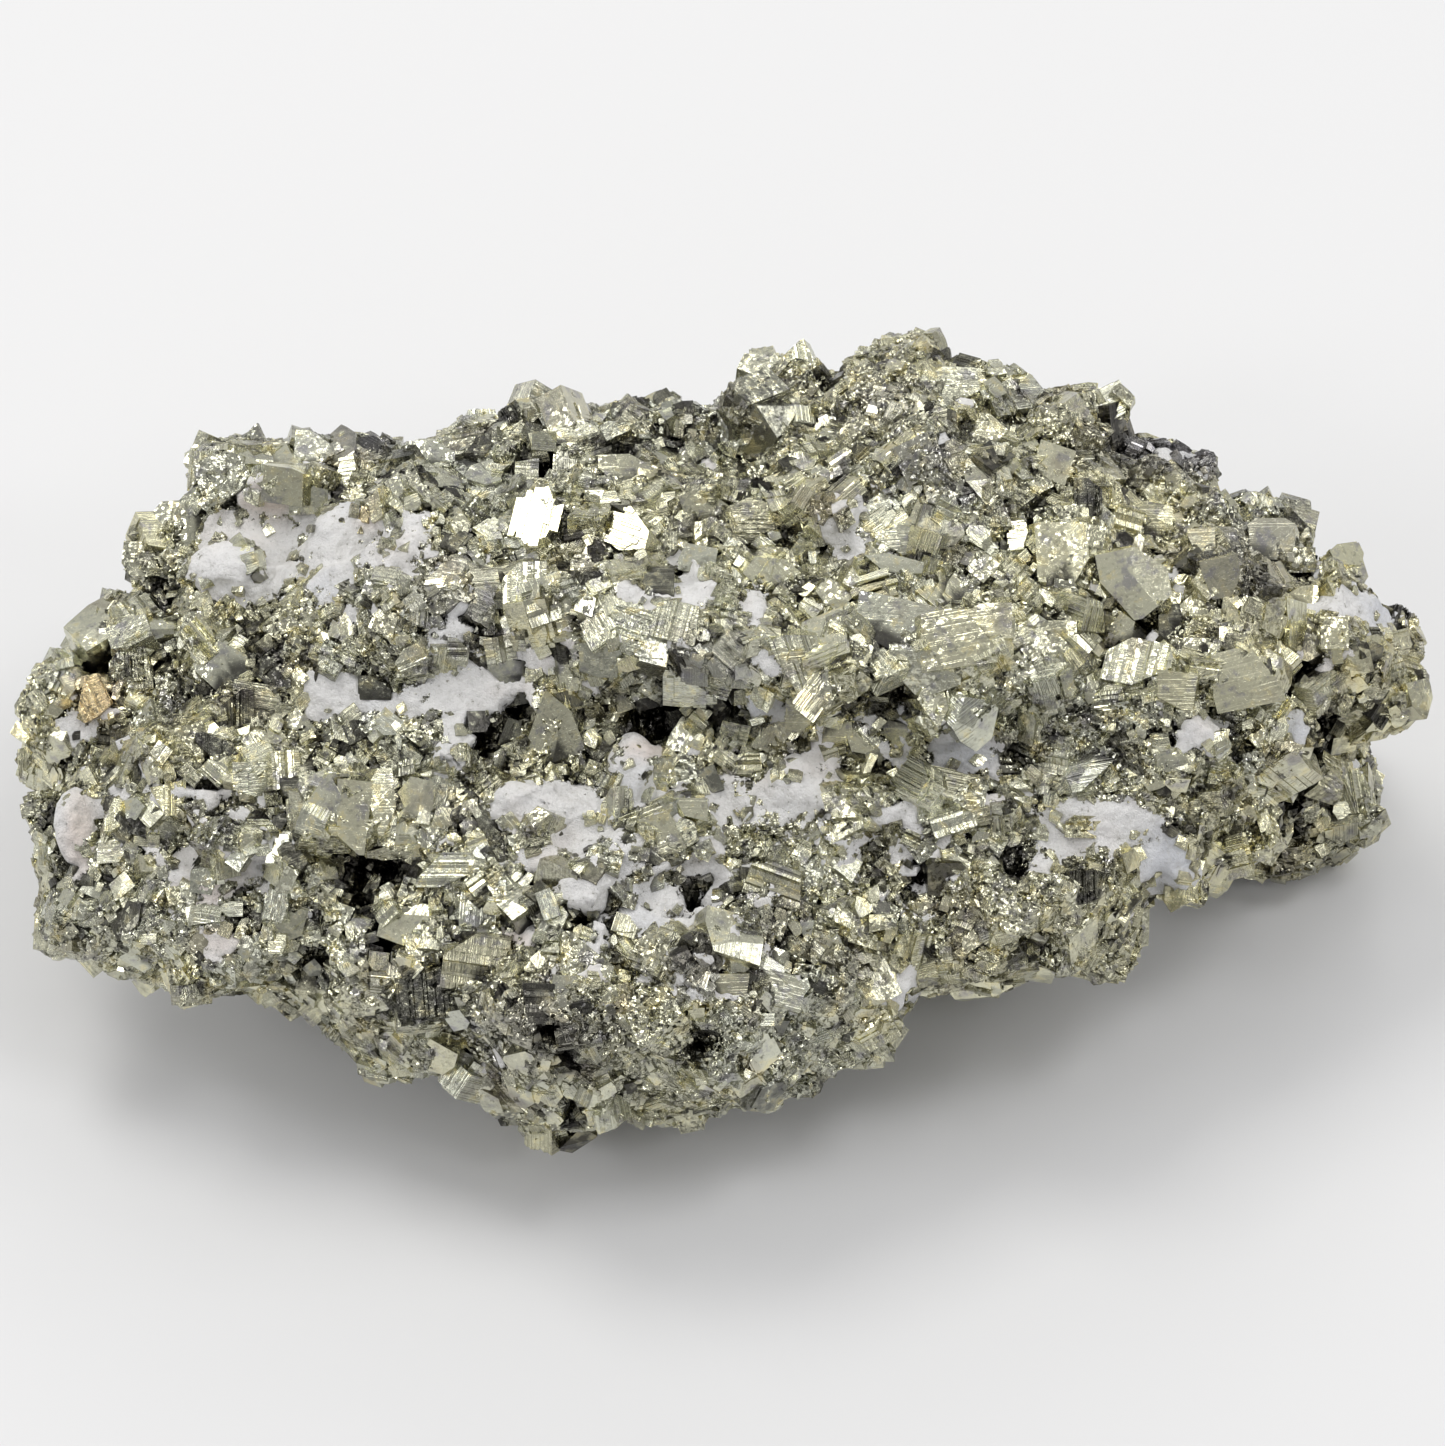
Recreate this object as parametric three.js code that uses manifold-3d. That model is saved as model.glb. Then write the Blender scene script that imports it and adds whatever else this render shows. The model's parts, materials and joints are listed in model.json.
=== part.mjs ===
// A hand-sized pyrite specimen: one grown mass of brassy crystals, with white clay packed in its hollows.
// Millimetres, +Z up, resting on z = 0 with the middle of its outline box over the origin.
//
// The show face is described as it looks to someone in front of the specimen, looking down on it at
// viewAngle: "across" runs to the right, "up" runs up the face and "out" comes out of it to the viewer.
// Every point below is (across, up, out) in that face frame until toTable turns it into the table's frame.
import * as THREE from 'three';
import { ConvexGeometry } from 'three/addons/geometries/ConvexGeometry.js';
import { ImprovedNoise } from 'three/addons/math/ImprovedNoise.js';
import { mergeVertices } from 'three/addons/utils/BufferGeometryUtils.js';
import Module from 'manifold-3d';

const wasm = await Module();
wasm.setup();

// Driving sizes
const viewAngle = THREE.MathUtils.degToRad(50); // how far above the table the face is looked at from
const faceHeight = 28; // the face frame's origin above the table

// The mass: rim, crown in front of it and base behind it
const rim = {
  inset: 1.2, // the crystals' corners stand out this far past the line they follow
  out: -8, // how far out the rim is at the face frame's middle
  slope: -0.3, // it falls back by this share of its height up the face
};
const crown = {
  height: 15, // the show face stands out this far in front of the rim
  fullness: 2.8, // higher is flatter across the middle and steeper at the rim
  reliefFade: 8, // higher keeps the ridges and hollows closer to the rim
};
const base = {
  centre: new THREE.Vector2(0, 8), // where the underside narrows to, on the table
  sink: { front: 10, back: 5 }, // it would reach this far below the table if it weren't cut flat
  fullness: { front: 1, back: 2.6 }, // low leaves an overhang, high makes a steep wall
  bend: { front: 1, back: 0.5 }, // 1 draws it straight back from the rim, lower rounds it
};
const lumps = [{ size: 1.5, wave: 11 }, { size: 0.7, wave: 3.4 }]; // wandering of the mass's surface
const lumpOrigin = new THREE.Vector3(31.7, 11.3, 5.1); // where the wandering is read from
const endSquash = 0.8; // lumps stand out less along the mass than across it
const coreDetail = 4; // subdivisions of the ball inside the mass, which shows only between crystals
const coreInset = 0.7; // the core lies this far under the mass's surface

// The crystals that cover the mass
const spacing = { front: 6.5, back: 10.6 }; // between the middles of neighbouring crystals
const growth = { front: 1.3, back: 1.05 }; // a crystal's width as a share of its spacing
const nearRim = 0.985; // a place on the face is no nearer to the rim than this share of the way
const frontFrom = -0.15; // crystals on this side of the rim keep the front's spacing
const crystalTries = 9000; // places tried one after another, kept where there is room
const waywardness = 0.9; // how far a crystal leans off the surface it stands on
const rimCalm = 0.35; // share of the leaning that is left at the rim
const rimGrowth = 0.55; // crystals at the rim are this share of the others' width
const rise = { least: 0.2, most: 1.2 }; // how far a crystal's top stands out of the surface
const stretch = { least: 0.85, most: 1.25 }; // how far its three widths differ
const clearOfTable = 1.5; // no crystal is rooted lower than this
const placedLift = 0.2; // a placed crystal's middle lies this share of its thickness under the surface
const placedThickness = 0.9; // of its smaller width
const placedSquare = 0.55; // share by which its face is turned to the viewer
const placedLean = 0.5;
const pyritohedronGrowth = 1.25; // its corners are cut, so it is made this much larger
const seeds = { placed: 7, strewn: 41, foot: 17 };

// The clay
const clayFacets = { round: 9, high: 4 };
const clayGap = 0.3; // clearance round each plug
const clayDepth = 2.4; // half the thickness of a plug
const clayLift = 0.1; // share of that depth by which its middle lies over the surface
const clayWave = { size: 0.3, turns: 1.6, level: 3.3 }; // how its edge wanders
const clayMargin = 0.3; // crystals keep this share of their spacing clear of it
const clayBehind = -14; // clay is only looked for in front of this

const outlineSamples = 900; // points read along the smoothed outline
const mergeReach = 1e-4; // corners nearer than this are one
const probeStep = 0.04; // how far aside the surface's slope is measured
const tableCut = { width: 300, depth: 60 }; // what is taken off below the table

// The widest line round the mass, as the viewer sees it: [across, up], clockwise from the left.
const outline = [
  [-59.5, -2.5], [-59, 1], [-55.5, 6], [-51.5, 10], [-49.5, 15], [-45, 20.5], [-43.5, 23.5], [-37, 23],
  [-34, 24.5], [-26.5, 23.5], [-17, 27], [-7, 28], [-1, 28.5], [4.5, 31.5], [10.5, 31], [16, 33.5],
  [23, 31], [32, 28.5], [35, 25], [41, 24], [46, 20], [52.5, 16], [55.5, 12], [57.5, 8.5],
  [58.5, 5], [57.5, 1.5], [54, -2.5], [50, -5], [48.5, -9], [42, -13.5], [37, -15.5], [32.5, -20.5],
  [25, -21.5], [17.5, -21.5], [15, -24.5], [14.5, -27], [7.5, -30], [2, -32.5], [-6, -34.5], [-18.5, -34],
  [-24, -30], [-32, -26.5], [-40, -22], [-47.5, -22], [-55, -18], [-58, -11],
];

// Ridges and hollows of the show face: [across, up, height, half width, half length up, turn in degrees].
const relief = [
  [10, 6.5, 5.5, 24, 5, -4], // the ridge across the middle
  [11.5, -3.2, -4, 20, 3, -4], // the trough under it
  [-3.5, 0.4, -4.5, 7, 2.4, 0], // its deep left end
  [19.8, 24, 4, 14, 8, -8], // the summit at the top right
  [-13.5, 23, 2.5, 12, 6, 4],
  [3, 22, -1.6, 8, 5, 0],
  [-36, 15.3, -3, 11, 7, 0], // the clay basin at the upper left
  [-38, 8.2, 3, 16, 3.4, -4], // the bar of crystals below it
  [-25, 2.8, -3, 11, 4, 0], // the clay basin left of the middle
  [-22, 10, 2, 9, 5, 0],
  [-32, -8, 2.4, 13, 5, 0],
  [-28, -12.6, -1.8, 11, 1.6, 0], // the dark slots
  [-14.8, -7, -2.2, 9, 3.4, 0],
  [-6.9, -23, 4.5, 20, 7, 0], // the lobe that hangs down to the front
  [30, -16, 4, 10, 6, 0],
  [32.5, -9, -2.4, 8, 3.4, 0], // the clay basin at the lower right
  [44, 5, 3, 12, 8, 0],
  [37, 16, -1.4, 6, 4, 0],
];

// Plugs of white clay: [name, across, up, half width, half height, turn in degrees].
const clayPlugs = [
  ['clay_upper_left', -40.6, 12.8, 4.4, 2.9, -8],
  ['clay_upper_left_inner', -32.2, 15.2, 2.9, 3.7, 0],
  ['clay_upper_left_top', -37.6, 20, 3, 1.4, 10],
  ['clay_left_of_middle', -32.3, 2.2, 3.2, 3, -20],
  ['clay_middle_left', -22, 2.8, 4.6, 2.4, 8],
  ['clay_middle_left_low', -22.2, -2.8, 1.8, 1.8, 0],
  ['clay_lower_middle', -15, -6.6, 4.8, 1.9, -6],
  ['clay_lower_middle_low', -11.2, -12.9, 2.3, 3, 0],
  ['clay_under_ridge', -7.2, -3.6, 2.2, 3, 0],
  ['clay_middle', 5.8, -5, 2.9, 2.6, 30],
  ['clay_upper_middle', 9.4, 16.8, 2.6, 2.4, -30],
  ['clay_lower_right', 31.2, -7.8, 5, 2.3, -4],
  ['clay_lower_right_end', 38, -12.4, 1.9, 2.5, 0],
  ['clay_right', 39.4, -0.8, 3, 1.5, -35],
  ['clay_right_edge', 52.6, 9.6, 3.6, 1.9, -20],
  ['clay_left_edge', -53.2, -8.4, 1.7, 3.6, 10],
  ['clay_lower_left', -40.2, -10.2, 3.2, 1.9, 0],
];

// The crystals that catch the eye: [across, up, width, height, turn in degrees, form].
const showCrystals = [
  [-15.2, 16.5, 5.2, 4.8, -10, 'block'], [-15.4, 11.5, 4.6, 3.4, 0, 'block'],
  [-14.3, 20.8, 7.2, 1.8, 0, 'block'], [-14, 23.8, 7.5, 2.8, -2, 'block'],
  [2.7, 16.5, 4.8, 4, 0, 'pyritohedron'], [12.7, 11.5, 7.5, 3.4, -12, 'block'],
  [17.7, 6.5, 10.5, 5.5, -5, 'block'], [7, 4.8, 4.6, 4.8, 10, 'block'],
  [27.3, 13.6, 6.4, 5.2, -15, 'block'], [21, 27.8, 6.4, 3.4, -10, 'block'],
  [20.9, 21.2, 5.4, 4, 0, 'block'], [28.5, 24.5, 6, 4.5, 0, 'pyritohedron'],
  [35.2, 5.1, 4.8, 3.8, 8, 'block'], [34.2, 11, 5.2, 5.2, 0, 'pyritohedron'],
  [43.1, 4.2, 5.5, 5, -20, 'block'], [41, 17.8, 4.6, 3.8, 0, 'pyritohedron'],
  [37.3, 20.7, 4.5, 4, 0, 'block'], [53.2, 12.4, 4, 5, 0, 'pyritohedron'],
  [52.4, 2.8, 4.8, 4.6, 0, 'pyritohedron'], [46.5, 15.2, 5, 3.2, -10, 'block'],
  [-31, -6.8, 7.2, 6, 0, 'block'], [-14.4, 0.7, 4.4, 4.4, 0, 'pyritohedron'],
  [-22.8, -12.2, 2.4, 5, 0, 'block'], [4.5, -13.5, 4.2, 5.4, -25, 'block'],
  [-24, -22.3, 6, 5, 30, 'block'], [-30.3, -22.2, 4.6, 4.4, 0, 'pyritohedron'],
  [24.2, -14.7, 4.8, 5.2, 0, 'pyritohedron'], [0.6, -23.1, 4.8, 3.8, -8, 'block'],
  [-5.8, -24.2, 5, 4.2, 0, 'block'], [-41, 20.6, 6.4, 4.4, 0, 'block'],
  [-43, 10.9, 6, 2.6, -8, 'block'], [-49.6, 4.8, 2.9, 4.8, 5, 'block'],
  [-43.4, 5.4, 3.4, 4.4, 20, 'block'], [5.5, -22, 4.4, 3.6, 0, 'block'],
];

// The foot at the right end, which shows past the mass behind its lower right edge, in the table's frame.
const foot = {
  centre: new THREE.Vector3(48.5, 13, 6.5),
  radii: new THREE.Vector3(9.6, 11, 9),
  detail: 2,
  lump: { size: 1.6, wave: 5 },
  crystals: 9,
  crystalSize: { least: 3, most: 5 },
  crystalSink: 0.5,
  from: new THREE.Vector3(-0.2, -1.2, -0.5), // its crystals point between these two directions
  to: new THREE.Vector3(1.2, 0.8, 0.9),
};

const across = new THREE.Vector3(1, 0, 0);
const up = new THREE.Vector3(0, Math.sin(viewAngle), Math.cos(viewAngle));
const out = new THREE.Vector3(0, -Math.cos(viewAngle), Math.sin(viewAngle));
const toTable = new THREE.Matrix4().makeBasis(across, up, out).setPosition(0, 0, faceHeight);
const toFace = toTable.clone().invert();

const noise = new ImprovedNoise();

// Repeatable random numbers from 0 to 1.
function randomFrom(seed) {
  let state = seed;
  return () => {
    state = (state + 0x6d2b79f5) | 0;
    let mixed = Math.imul(state ^ (state >>> 15), 1 | state);
    mixed = (mixed + Math.imul(mixed ^ (mixed >>> 7), 61 | mixed)) ^ mixed;
    return ((mixed ^ (mixed >>> 14)) >>> 0) / 4294967296;
  };
}

// How far the rim is from the middle of the face at an angle round it.
const rimSamples = new THREE.CatmullRomCurve3(
  outline.map(([x, y]) => new THREE.Vector3(x, y, 0)), true, 'centripetal',
).getPoints(outlineSamples).map((p) => ({ angle: Math.atan2(p.y, p.x), radius: Math.hypot(p.x, p.y) }))
  .sort((a, b) => a.angle - b.angle);

function rimRadius(angle) {
  let low = 0;
  let high = rimSamples.length - 1;
  while (high - low > 1) {
    const middle = (low + high) >> 1;
    if (rimSamples[middle].angle > angle) high = middle;
    else low = middle;
  }
  const [a, b] = [rimSamples[low], rimSamples[high]];
  const part = THREE.MathUtils.clamp((angle - a.angle) / Math.max(b.angle - a.angle, 1e-6), 0, 1);
  return THREE.MathUtils.lerp(a.radius, b.radius, part) - rim.inset;
}

// Height of the ridges and hollows at a place on the face.
function reliefAt(x, y) {
  let height = 0;
  for (const [cx, cy, rise, halfWidth, halfLength, turn] of relief) {
    const angle = THREE.MathUtils.degToRad(turn);
    const dx = x - cx;
    const dy = y - cy;
    const along = (dx * Math.cos(angle) + dy * Math.sin(angle)) / halfWidth;
    const over = (-dx * Math.sin(angle) + dy * Math.cos(angle)) / halfLength;
    height += rise * Math.exp(-(along * along + over * over));
  }
  return height;
}

// Where a point is moved to by the surface's lumps, along a direction from the mass's middle.
function withLumps(point, direction) {
  const outward = new THREE.Vector3(direction.x * endSquash, direction.y, direction.z).normalize();
  const wander = lumps.reduce((sum, { size, wave }) => {
    const at = point.clone().divideScalar(wave).add(lumpOrigin);
    return sum + size * noise.noise(at.x, at.y, at.z);
  }, 0);
  return point.addScaledVector(outward, wander);
}

// The mass's surface point for a direction from its middle, z out of the face.
function massPoint(direction) {
  const angle = Math.atan2(direction.y, direction.x);
  const share = Math.min(Math.hypot(direction.x, direction.y), 1); // 0 in the middle, 1 at the rim
  const radius = rimRadius(angle);
  const point = new THREE.Vector3(Math.cos(angle) * radius, Math.sin(angle) * radius, rim.out);
  if (direction.z >= 0) {
    point.set(point.x * share, point.y * share, rim.out);
    point.z += rim.slope * point.y + crown.height * Math.sqrt(1 - share ** crown.fullness);
    point.z += reliefAt(point.x, point.y) * (1 - share ** crown.reliefFade);
  } else {
    point.z += rim.slope * point.y;
    point.applyMatrix4(toTable);
    const backShare = Math.max(Math.sin(angle), 0);
    const blended = ({ front, back }) => THREE.MathUtils.lerp(front, back, backShare);
    point.x = THREE.MathUtils.lerp(base.centre.x, point.x, share);
    point.y = THREE.MathUtils.lerp(base.centre.y, point.y, share);
    const drop = (1 - share ** blended(base.fullness)) ** blended(base.bend);
    point.z -= (point.z + blended(base.sink)) * drop;
    point.applyMatrix4(toFace);
  }
  return withLumps(point, direction);
}

// The direction whose surface point lies at a place on the show face.
function faceDirection(x, y) {
  const angle = Math.atan2(y, x);
  const share = Math.min(Math.hypot(x, y) / rimRadius(angle), nearRim);
  return new THREE.Vector3(Math.cos(angle) * share, Math.sin(angle) * share, Math.sqrt(1 - share * share));
}

// The surface's outward normal for a direction, from small steps aside.
function massNormal(direction) {
  const side = new THREE.Vector3(-direction.y, direction.x, probeStep).normalize();
  const other = new THREE.Vector3().crossVectors(direction, side).normalize();
  const stepped = (axis, step) => massPoint(direction.clone().addScaledVector(axis, step).normalize());
  const alongSide = stepped(side, probeStep).sub(stepped(side, -probeStep));
  const alongOther = stepped(other, probeStep).sub(stepped(other, -probeStep));
  const normal = alongSide.cross(alongOther).normalize();
  return normal.dot(direction) < 0 ? normal.negate() : normal;
}

// A geometry with each corner held once, so that its faces close.
function closed(geometry) {
  geometry.deleteAttribute('normal');
  geometry.deleteAttribute('uv');
  return mergeVertices(geometry, mergeReach);
}

// A closed geometry as a solid for joining and cutting.
function solidOf(geometry) {
  return new wasm.Manifold(new wasm.Mesh({
    numProp: 3,
    vertProperties: new Float32Array(geometry.attributes.position.array),
    triVerts: new Uint32Array(geometry.index.array),
  }));
}

function geometryOf(solid) {
  const mesh = solid.getMesh();
  const geometry = new THREE.BufferGeometry();
  geometry.setAttribute('position', new THREE.BufferAttribute(new Float32Array(mesh.vertProperties), 3));
  geometry.setIndex(new THREE.BufferAttribute(new Uint32Array(mesh.triVerts), 1));
  geometry.computeVertexNormals();
  return geometry;
}

// The outer skin alone: gaps sealed in between crystals are filled, and stray flakes are dropped.
function outerSkin(geometry) {
  const corners = geometry.index.array;
  const parent = Array.from({ length: geometry.getAttribute('position').count }, (_, i) => i);
  const rootOf = (i) => {
    let root = i;
    while (parent[root] !== root) root = parent[root];
    parent[i] = root;
    return root;
  };
  for (let i = 0; i < corners.length; i += 3) {
    parent[rootOf(corners[i + 1])] = rootOf(corners[i]);
    parent[rootOf(corners[i + 2])] = rootOf(corners[i]);
  }
  const skins = new Map();
  for (let i = 0; i < corners.length; i += 3) {
    const root = rootOf(corners[i]);
    if (!skins.has(root)) skins.set(root, []);
    skins.get(root).push(corners[i], corners[i + 1], corners[i + 2]);
  }
  const largest = [...skins.values()].sort((a, b) => b.length - a.length)[0];
  geometry.setIndex(largest);
  return geometry;
}

// A ball whose corners are moved to where a function of their direction puts them.
function shapedBall(ballGeometry, place) {
  const ball = closed(ballGeometry);
  const position = ball.getAttribute('position');
  const direction = new THREE.Vector3();
  for (let i = 0; i < position.count; i += 1) {
    direction.fromBufferAttribute(position, i).normalize();
    const point = place(direction);
    position.setXYZ(i, point.x, point.y, point.z);
  }
  return ball;
}

// The twelve-faced crystal that pyrite is named for, 1 across.
function pyritohedron() {
  const reach = 0.5;
  const corner = reach * (2 / 3);
  const roof = reach / 2;
  const points = [];
  for (const a of [-1, 1]) {
    for (const b of [-1, 1]) {
      for (const c of [-1, 1]) {
        points.push(new THREE.Vector3(a, b, c).multiplyScalar(corner));
      }
      points.push(new THREE.Vector3(0, a * reach, b * roof));
      points.push(new THREE.Vector3(a * reach, b * roof, 0));
      points.push(new THREE.Vector3(a * roof, 0, b * reach));
    }
  }
  return closed(new ConvexGeometry(points));
}

// Axes on a surface: z along its normal, x as level as it can be, turned about z.
function axesOn(normal, turn, origin) {
  const side = new THREE.Vector3(1, 0, 0).addScaledVector(normal, -normal.x).normalize();
  return new THREE.Matrix4()
    .makeBasis(side, new THREE.Vector3().crossVectors(normal, side), normal)
    .multiply(new THREE.Matrix4().makeRotationZ(turn))
    .setPosition(origin);
}

// A crystal facing a way, with its middle sunk under a point.
function crystal(form, size, point, facing, turn, sink) {
  const geometry = form === 'pyritohedron' ? pyritohedron() : closed(new THREE.BoxGeometry(1, 1, 1));
  const middle = point.clone().addScaledVector(facing, -sink);
  return geometry.scale(size.x, size.y, size.z).applyMatrix4(axesOn(facing, turn, middle));
}

// A vector with each part between -0.5 and 0.5 of a reach.
function scatter(random, reach) {
  return new THREE.Vector3(random() - 0.5, random() - 0.5, random() - 0.5).multiplyScalar(reach);
}

// Whether a point of the show face is within a margin of some plug of clay.
function nearClay(point, margin) {
  return clayPlugs.some(([, x, y, halfWidth, halfHeight, turn]) => {
    const away = new THREE.Vector2(point.x - x, point.y - y)
      .rotateAround(new THREE.Vector2(), -THREE.MathUtils.degToRad(turn));
    const along = away.x / (halfWidth + margin);
    const over = away.y / (halfHeight + margin);
    return point.z > clayBehind && along * along + over * over < 1;
  });
}

// The crystals placed by hand on the show face.
function placedCrystals() {
  const random = randomFrom(seeds.placed);
  return showCrystals.map(([x, y, width, height, turn, form]) => {
    const direction = faceDirection(x, y);
    const facing = massNormal(direction).lerp(new THREE.Vector3(0, 0, 1), placedSquare);
    facing.add(scatter(random, placedLean)).normalize();
    const thickness = Math.min(width, height) * placedThickness;
    const size = new THREE.Vector3(width, height, thickness);
    if (form === 'pyritohedron') size.multiplyScalar(pyritohedronGrowth);
    const sink = thickness * placedLift;
    return crystal(form, size, massPoint(direction), facing, THREE.MathUtils.degToRad(turn), sink);
  });
}

// Crystals all over the mass, as close as their spacing lets them be, beside the ones placed by hand.
function strewnCrystals() {
  const random = randomFrom(seeds.strewn);
  const taken = showCrystals.map(([x, y, width, height]) => ({
    point: massPoint(faceDirection(x, y)),
    reach: (width + height) / 4,
  }));
  const made = [];
  for (let i = 0; i < crystalTries; i += 1) {
    const level = random() * 2 - 1;
    const angle = random() * Math.PI * 2;
    const across = Math.sqrt(1 - level * level);
    const direction = new THREE.Vector3(Math.cos(angle) * across, Math.sin(angle) * across, level);
    const point = massPoint(direction);
    const side = level > frontFrom ? 'front' : 'back';
    const room = spacing[side];
    const crowded = taken.some((other) => other.point.distanceTo(point) < room / 2 + other.reach);
    const low = point.clone().applyMatrix4(toTable).z < clearOfTable;
    if (crowded || low || nearClay(point, room * clayMargin)) continue;
    taken.push({ point, reach: room / 2 });
    const steady = Math.min(1, rimCalm + 2 * Math.abs(level));
    const facing = massNormal(direction).add(scatter(random, steady * waywardness)).normalize();
    const grown = room * growth[side] * THREE.MathUtils.lerp(rimGrowth, 1, steady);
    const width = () => grown * THREE.MathUtils.lerp(stretch.least, stretch.most, random());
    const size = new THREE.Vector3(width(), width(), width());
    const lift = THREE.MathUtils.lerp(rise.least, rise.most, random()) * steady;
    made.push(crystal('block', size, point, facing, random() * Math.PI, size.z / 2 - lift));
  }
  return made;
}

// A plug of clay lying in the surface, with a wavy edge, grown by a clearance for the pocket round it.
function clayPlug([, x, y, halfWidth, halfHeight, turn], clearance) {
  const direction = faceDirection(x, y);
  const normal = massNormal(direction).lerp(new THREE.Vector3(0, 0, 1), placedSquare).normalize();
  const middle = massPoint(direction).addScaledVector(normal, clayDepth * clayLift);
  const axes = axesOn(normal, THREE.MathUtils.degToRad(turn), middle);
  const ball = new THREE.SphereGeometry(1, clayFacets.round, clayFacets.high);
  return shapedBall(ball, (d) => {
    const at = d.clone().multiplyScalar(clayWave.turns);
    const wave = 1 + clayWave.size * noise.noise(at.x + x, at.y + y, clayWave.level);
    return new THREE.Vector3(
      d.x * (halfWidth * wave + clearance),
      d.y * (halfHeight * wave + clearance),
      d.z * (clayDepth + clearance),
    ).applyMatrix4(axes);
  });
}

// The foot: a lumpy ball with crystals of its own, in the table's frame.
function footSolids() {
  const random = randomFrom(seeds.foot);
  const surface = (d) => {
    const point = d.clone().multiply(foot.radii).add(foot.centre);
    const at = point.clone().divideScalar(foot.lump.wave);
    return point.addScaledVector(d, foot.lump.size * noise.noise(at.x, at.y, at.z));
  };
  const solids = [solidOf(shapedBall(new THREE.IcosahedronGeometry(1, foot.detail), surface))];
  for (let i = 0; i < foot.crystals; i += 1) {
    const d = new THREE.Vector3(random(), random(), random())
      .multiply(foot.to.clone().sub(foot.from)).add(foot.from).normalize();
    const facing = d.clone().add(scatter(random, 1)).normalize();
    const width = THREE.MathUtils.lerp(foot.crystalSize.least, foot.crystalSize.most, random());
    const size = new THREE.Vector3(width, width, width);
    solids.push(solidOf(crystal('block', size, surface(d), facing, random() * Math.PI, foot.crystalSink)));
  }
  return solids;
}

// Everything of pyrite joined in one solid, cut flat where it rests and hollowed for the clay.
function pyriteMass() {
  const core = shapedBall(
    new THREE.IcosahedronGeometry(1, coreDetail),
    (d) => massPoint(d).addScaledVector(d, -coreInset),
  );
  const grown = [core, ...placedCrystals(), ...strewnCrystals()]
    .map((geometry) => solidOf(geometry.applyMatrix4(toTable)));
  const joined = [...grown, ...footSolids()].reduce((all, one) => all.add(one));
  const belowTable = closed(new THREE.BoxGeometry(tableCut.width, tableCut.width, tableCut.depth))
    .translate(0, 0, -tableCut.depth / 2);
  const pockets = clayPlugs.map((plug) => solidOf(clayPlug(plug, clayGap).applyMatrix4(toTable)));
  const cut = [solidOf(belowTable), ...pockets].reduce((left, tool) => left.subtract(tool), joined);
  return outerSkin(geometryOf(cut));
}

function pyriteLook() {
  return new THREE.MeshStandardMaterial({ color: 0x9a9068, roughness: 0.35, metalness: 1 });
}

function clayLook() {
  return new THREE.MeshStandardMaterial({ color: 0xdcd8da, roughness: 0.95, metalness: 0 });
}

function named(name, geometry, material) {
  const mesh = new THREE.Mesh(geometry, material);
  mesh.name = name;
  return mesh;
}

const specimen = new THREE.Group();
specimen.add(named('pyrite_mass', pyriteMass(), pyriteLook()));
for (const plug of clayPlugs) {
  specimen.add(named(plug[0], clayPlug(plug, 0).applyMatrix4(toTable), clayLook()));
}

// The origin goes to the middle of the outline box, on the table.
const box = new THREE.Box3().setFromObject(specimen);
specimen.position.set(-(box.min.x + box.max.x) / 2, -(box.min.y + box.max.y) / 2, 0);

export default specimen;
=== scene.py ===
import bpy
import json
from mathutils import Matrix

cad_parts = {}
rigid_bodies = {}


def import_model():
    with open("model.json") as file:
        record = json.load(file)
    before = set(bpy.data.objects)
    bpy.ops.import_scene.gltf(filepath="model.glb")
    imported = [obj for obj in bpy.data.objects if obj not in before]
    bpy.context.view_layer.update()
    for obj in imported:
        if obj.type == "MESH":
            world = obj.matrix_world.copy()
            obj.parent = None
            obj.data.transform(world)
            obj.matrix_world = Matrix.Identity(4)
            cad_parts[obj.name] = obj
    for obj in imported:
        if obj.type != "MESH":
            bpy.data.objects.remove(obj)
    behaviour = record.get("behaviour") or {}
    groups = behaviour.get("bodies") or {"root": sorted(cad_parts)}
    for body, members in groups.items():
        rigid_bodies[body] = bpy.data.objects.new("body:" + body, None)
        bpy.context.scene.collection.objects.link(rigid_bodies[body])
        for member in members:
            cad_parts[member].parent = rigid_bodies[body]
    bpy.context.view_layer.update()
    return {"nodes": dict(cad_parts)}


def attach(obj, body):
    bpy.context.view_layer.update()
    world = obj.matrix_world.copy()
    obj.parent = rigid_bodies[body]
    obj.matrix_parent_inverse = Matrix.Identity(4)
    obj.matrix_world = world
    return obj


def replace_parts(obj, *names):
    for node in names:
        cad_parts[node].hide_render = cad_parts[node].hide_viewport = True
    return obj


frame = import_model()

import json
import math
import bmesh
import bpy
import numpy as np
from mathutils import Matrix, Vector, noise
from mathutils.bvhtree import BVHTree

# A pyrite specimen: a rough ground with thousands of crystals grown on it, and white clay in its hollows.
# Places on the show face are given as they look in the picture, in its pixels from the top left.

picture = {
    "width": 1445,
    "height": 1446,
    "scale": 12000,  # pixels to a metre at the specimen's middle
    "elevation": 50,  # degrees that the camera looks down by
    "distance": 0.45,
    "middle": (0.00022, -0.00389, 0.028),  # what the picture's centre shows
    "sensor": 36.0,
    "nearest": 0.01,
}

tilt = math.radians(picture["elevation"])
acrossAxis = np.array([1.0, 0.0, 0.0])
upAxis = np.array([0.0, math.sin(tilt), math.cos(tilt)])
outAxis = np.array([0.0, -math.cos(tilt), math.sin(tilt)])
middle = np.array(picture["middle"])
cameraPlace = middle + outAxis * picture["distance"]
mm = 0.001
noise.seed_set(5)  # else the noise vectors differ from run to run

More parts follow.
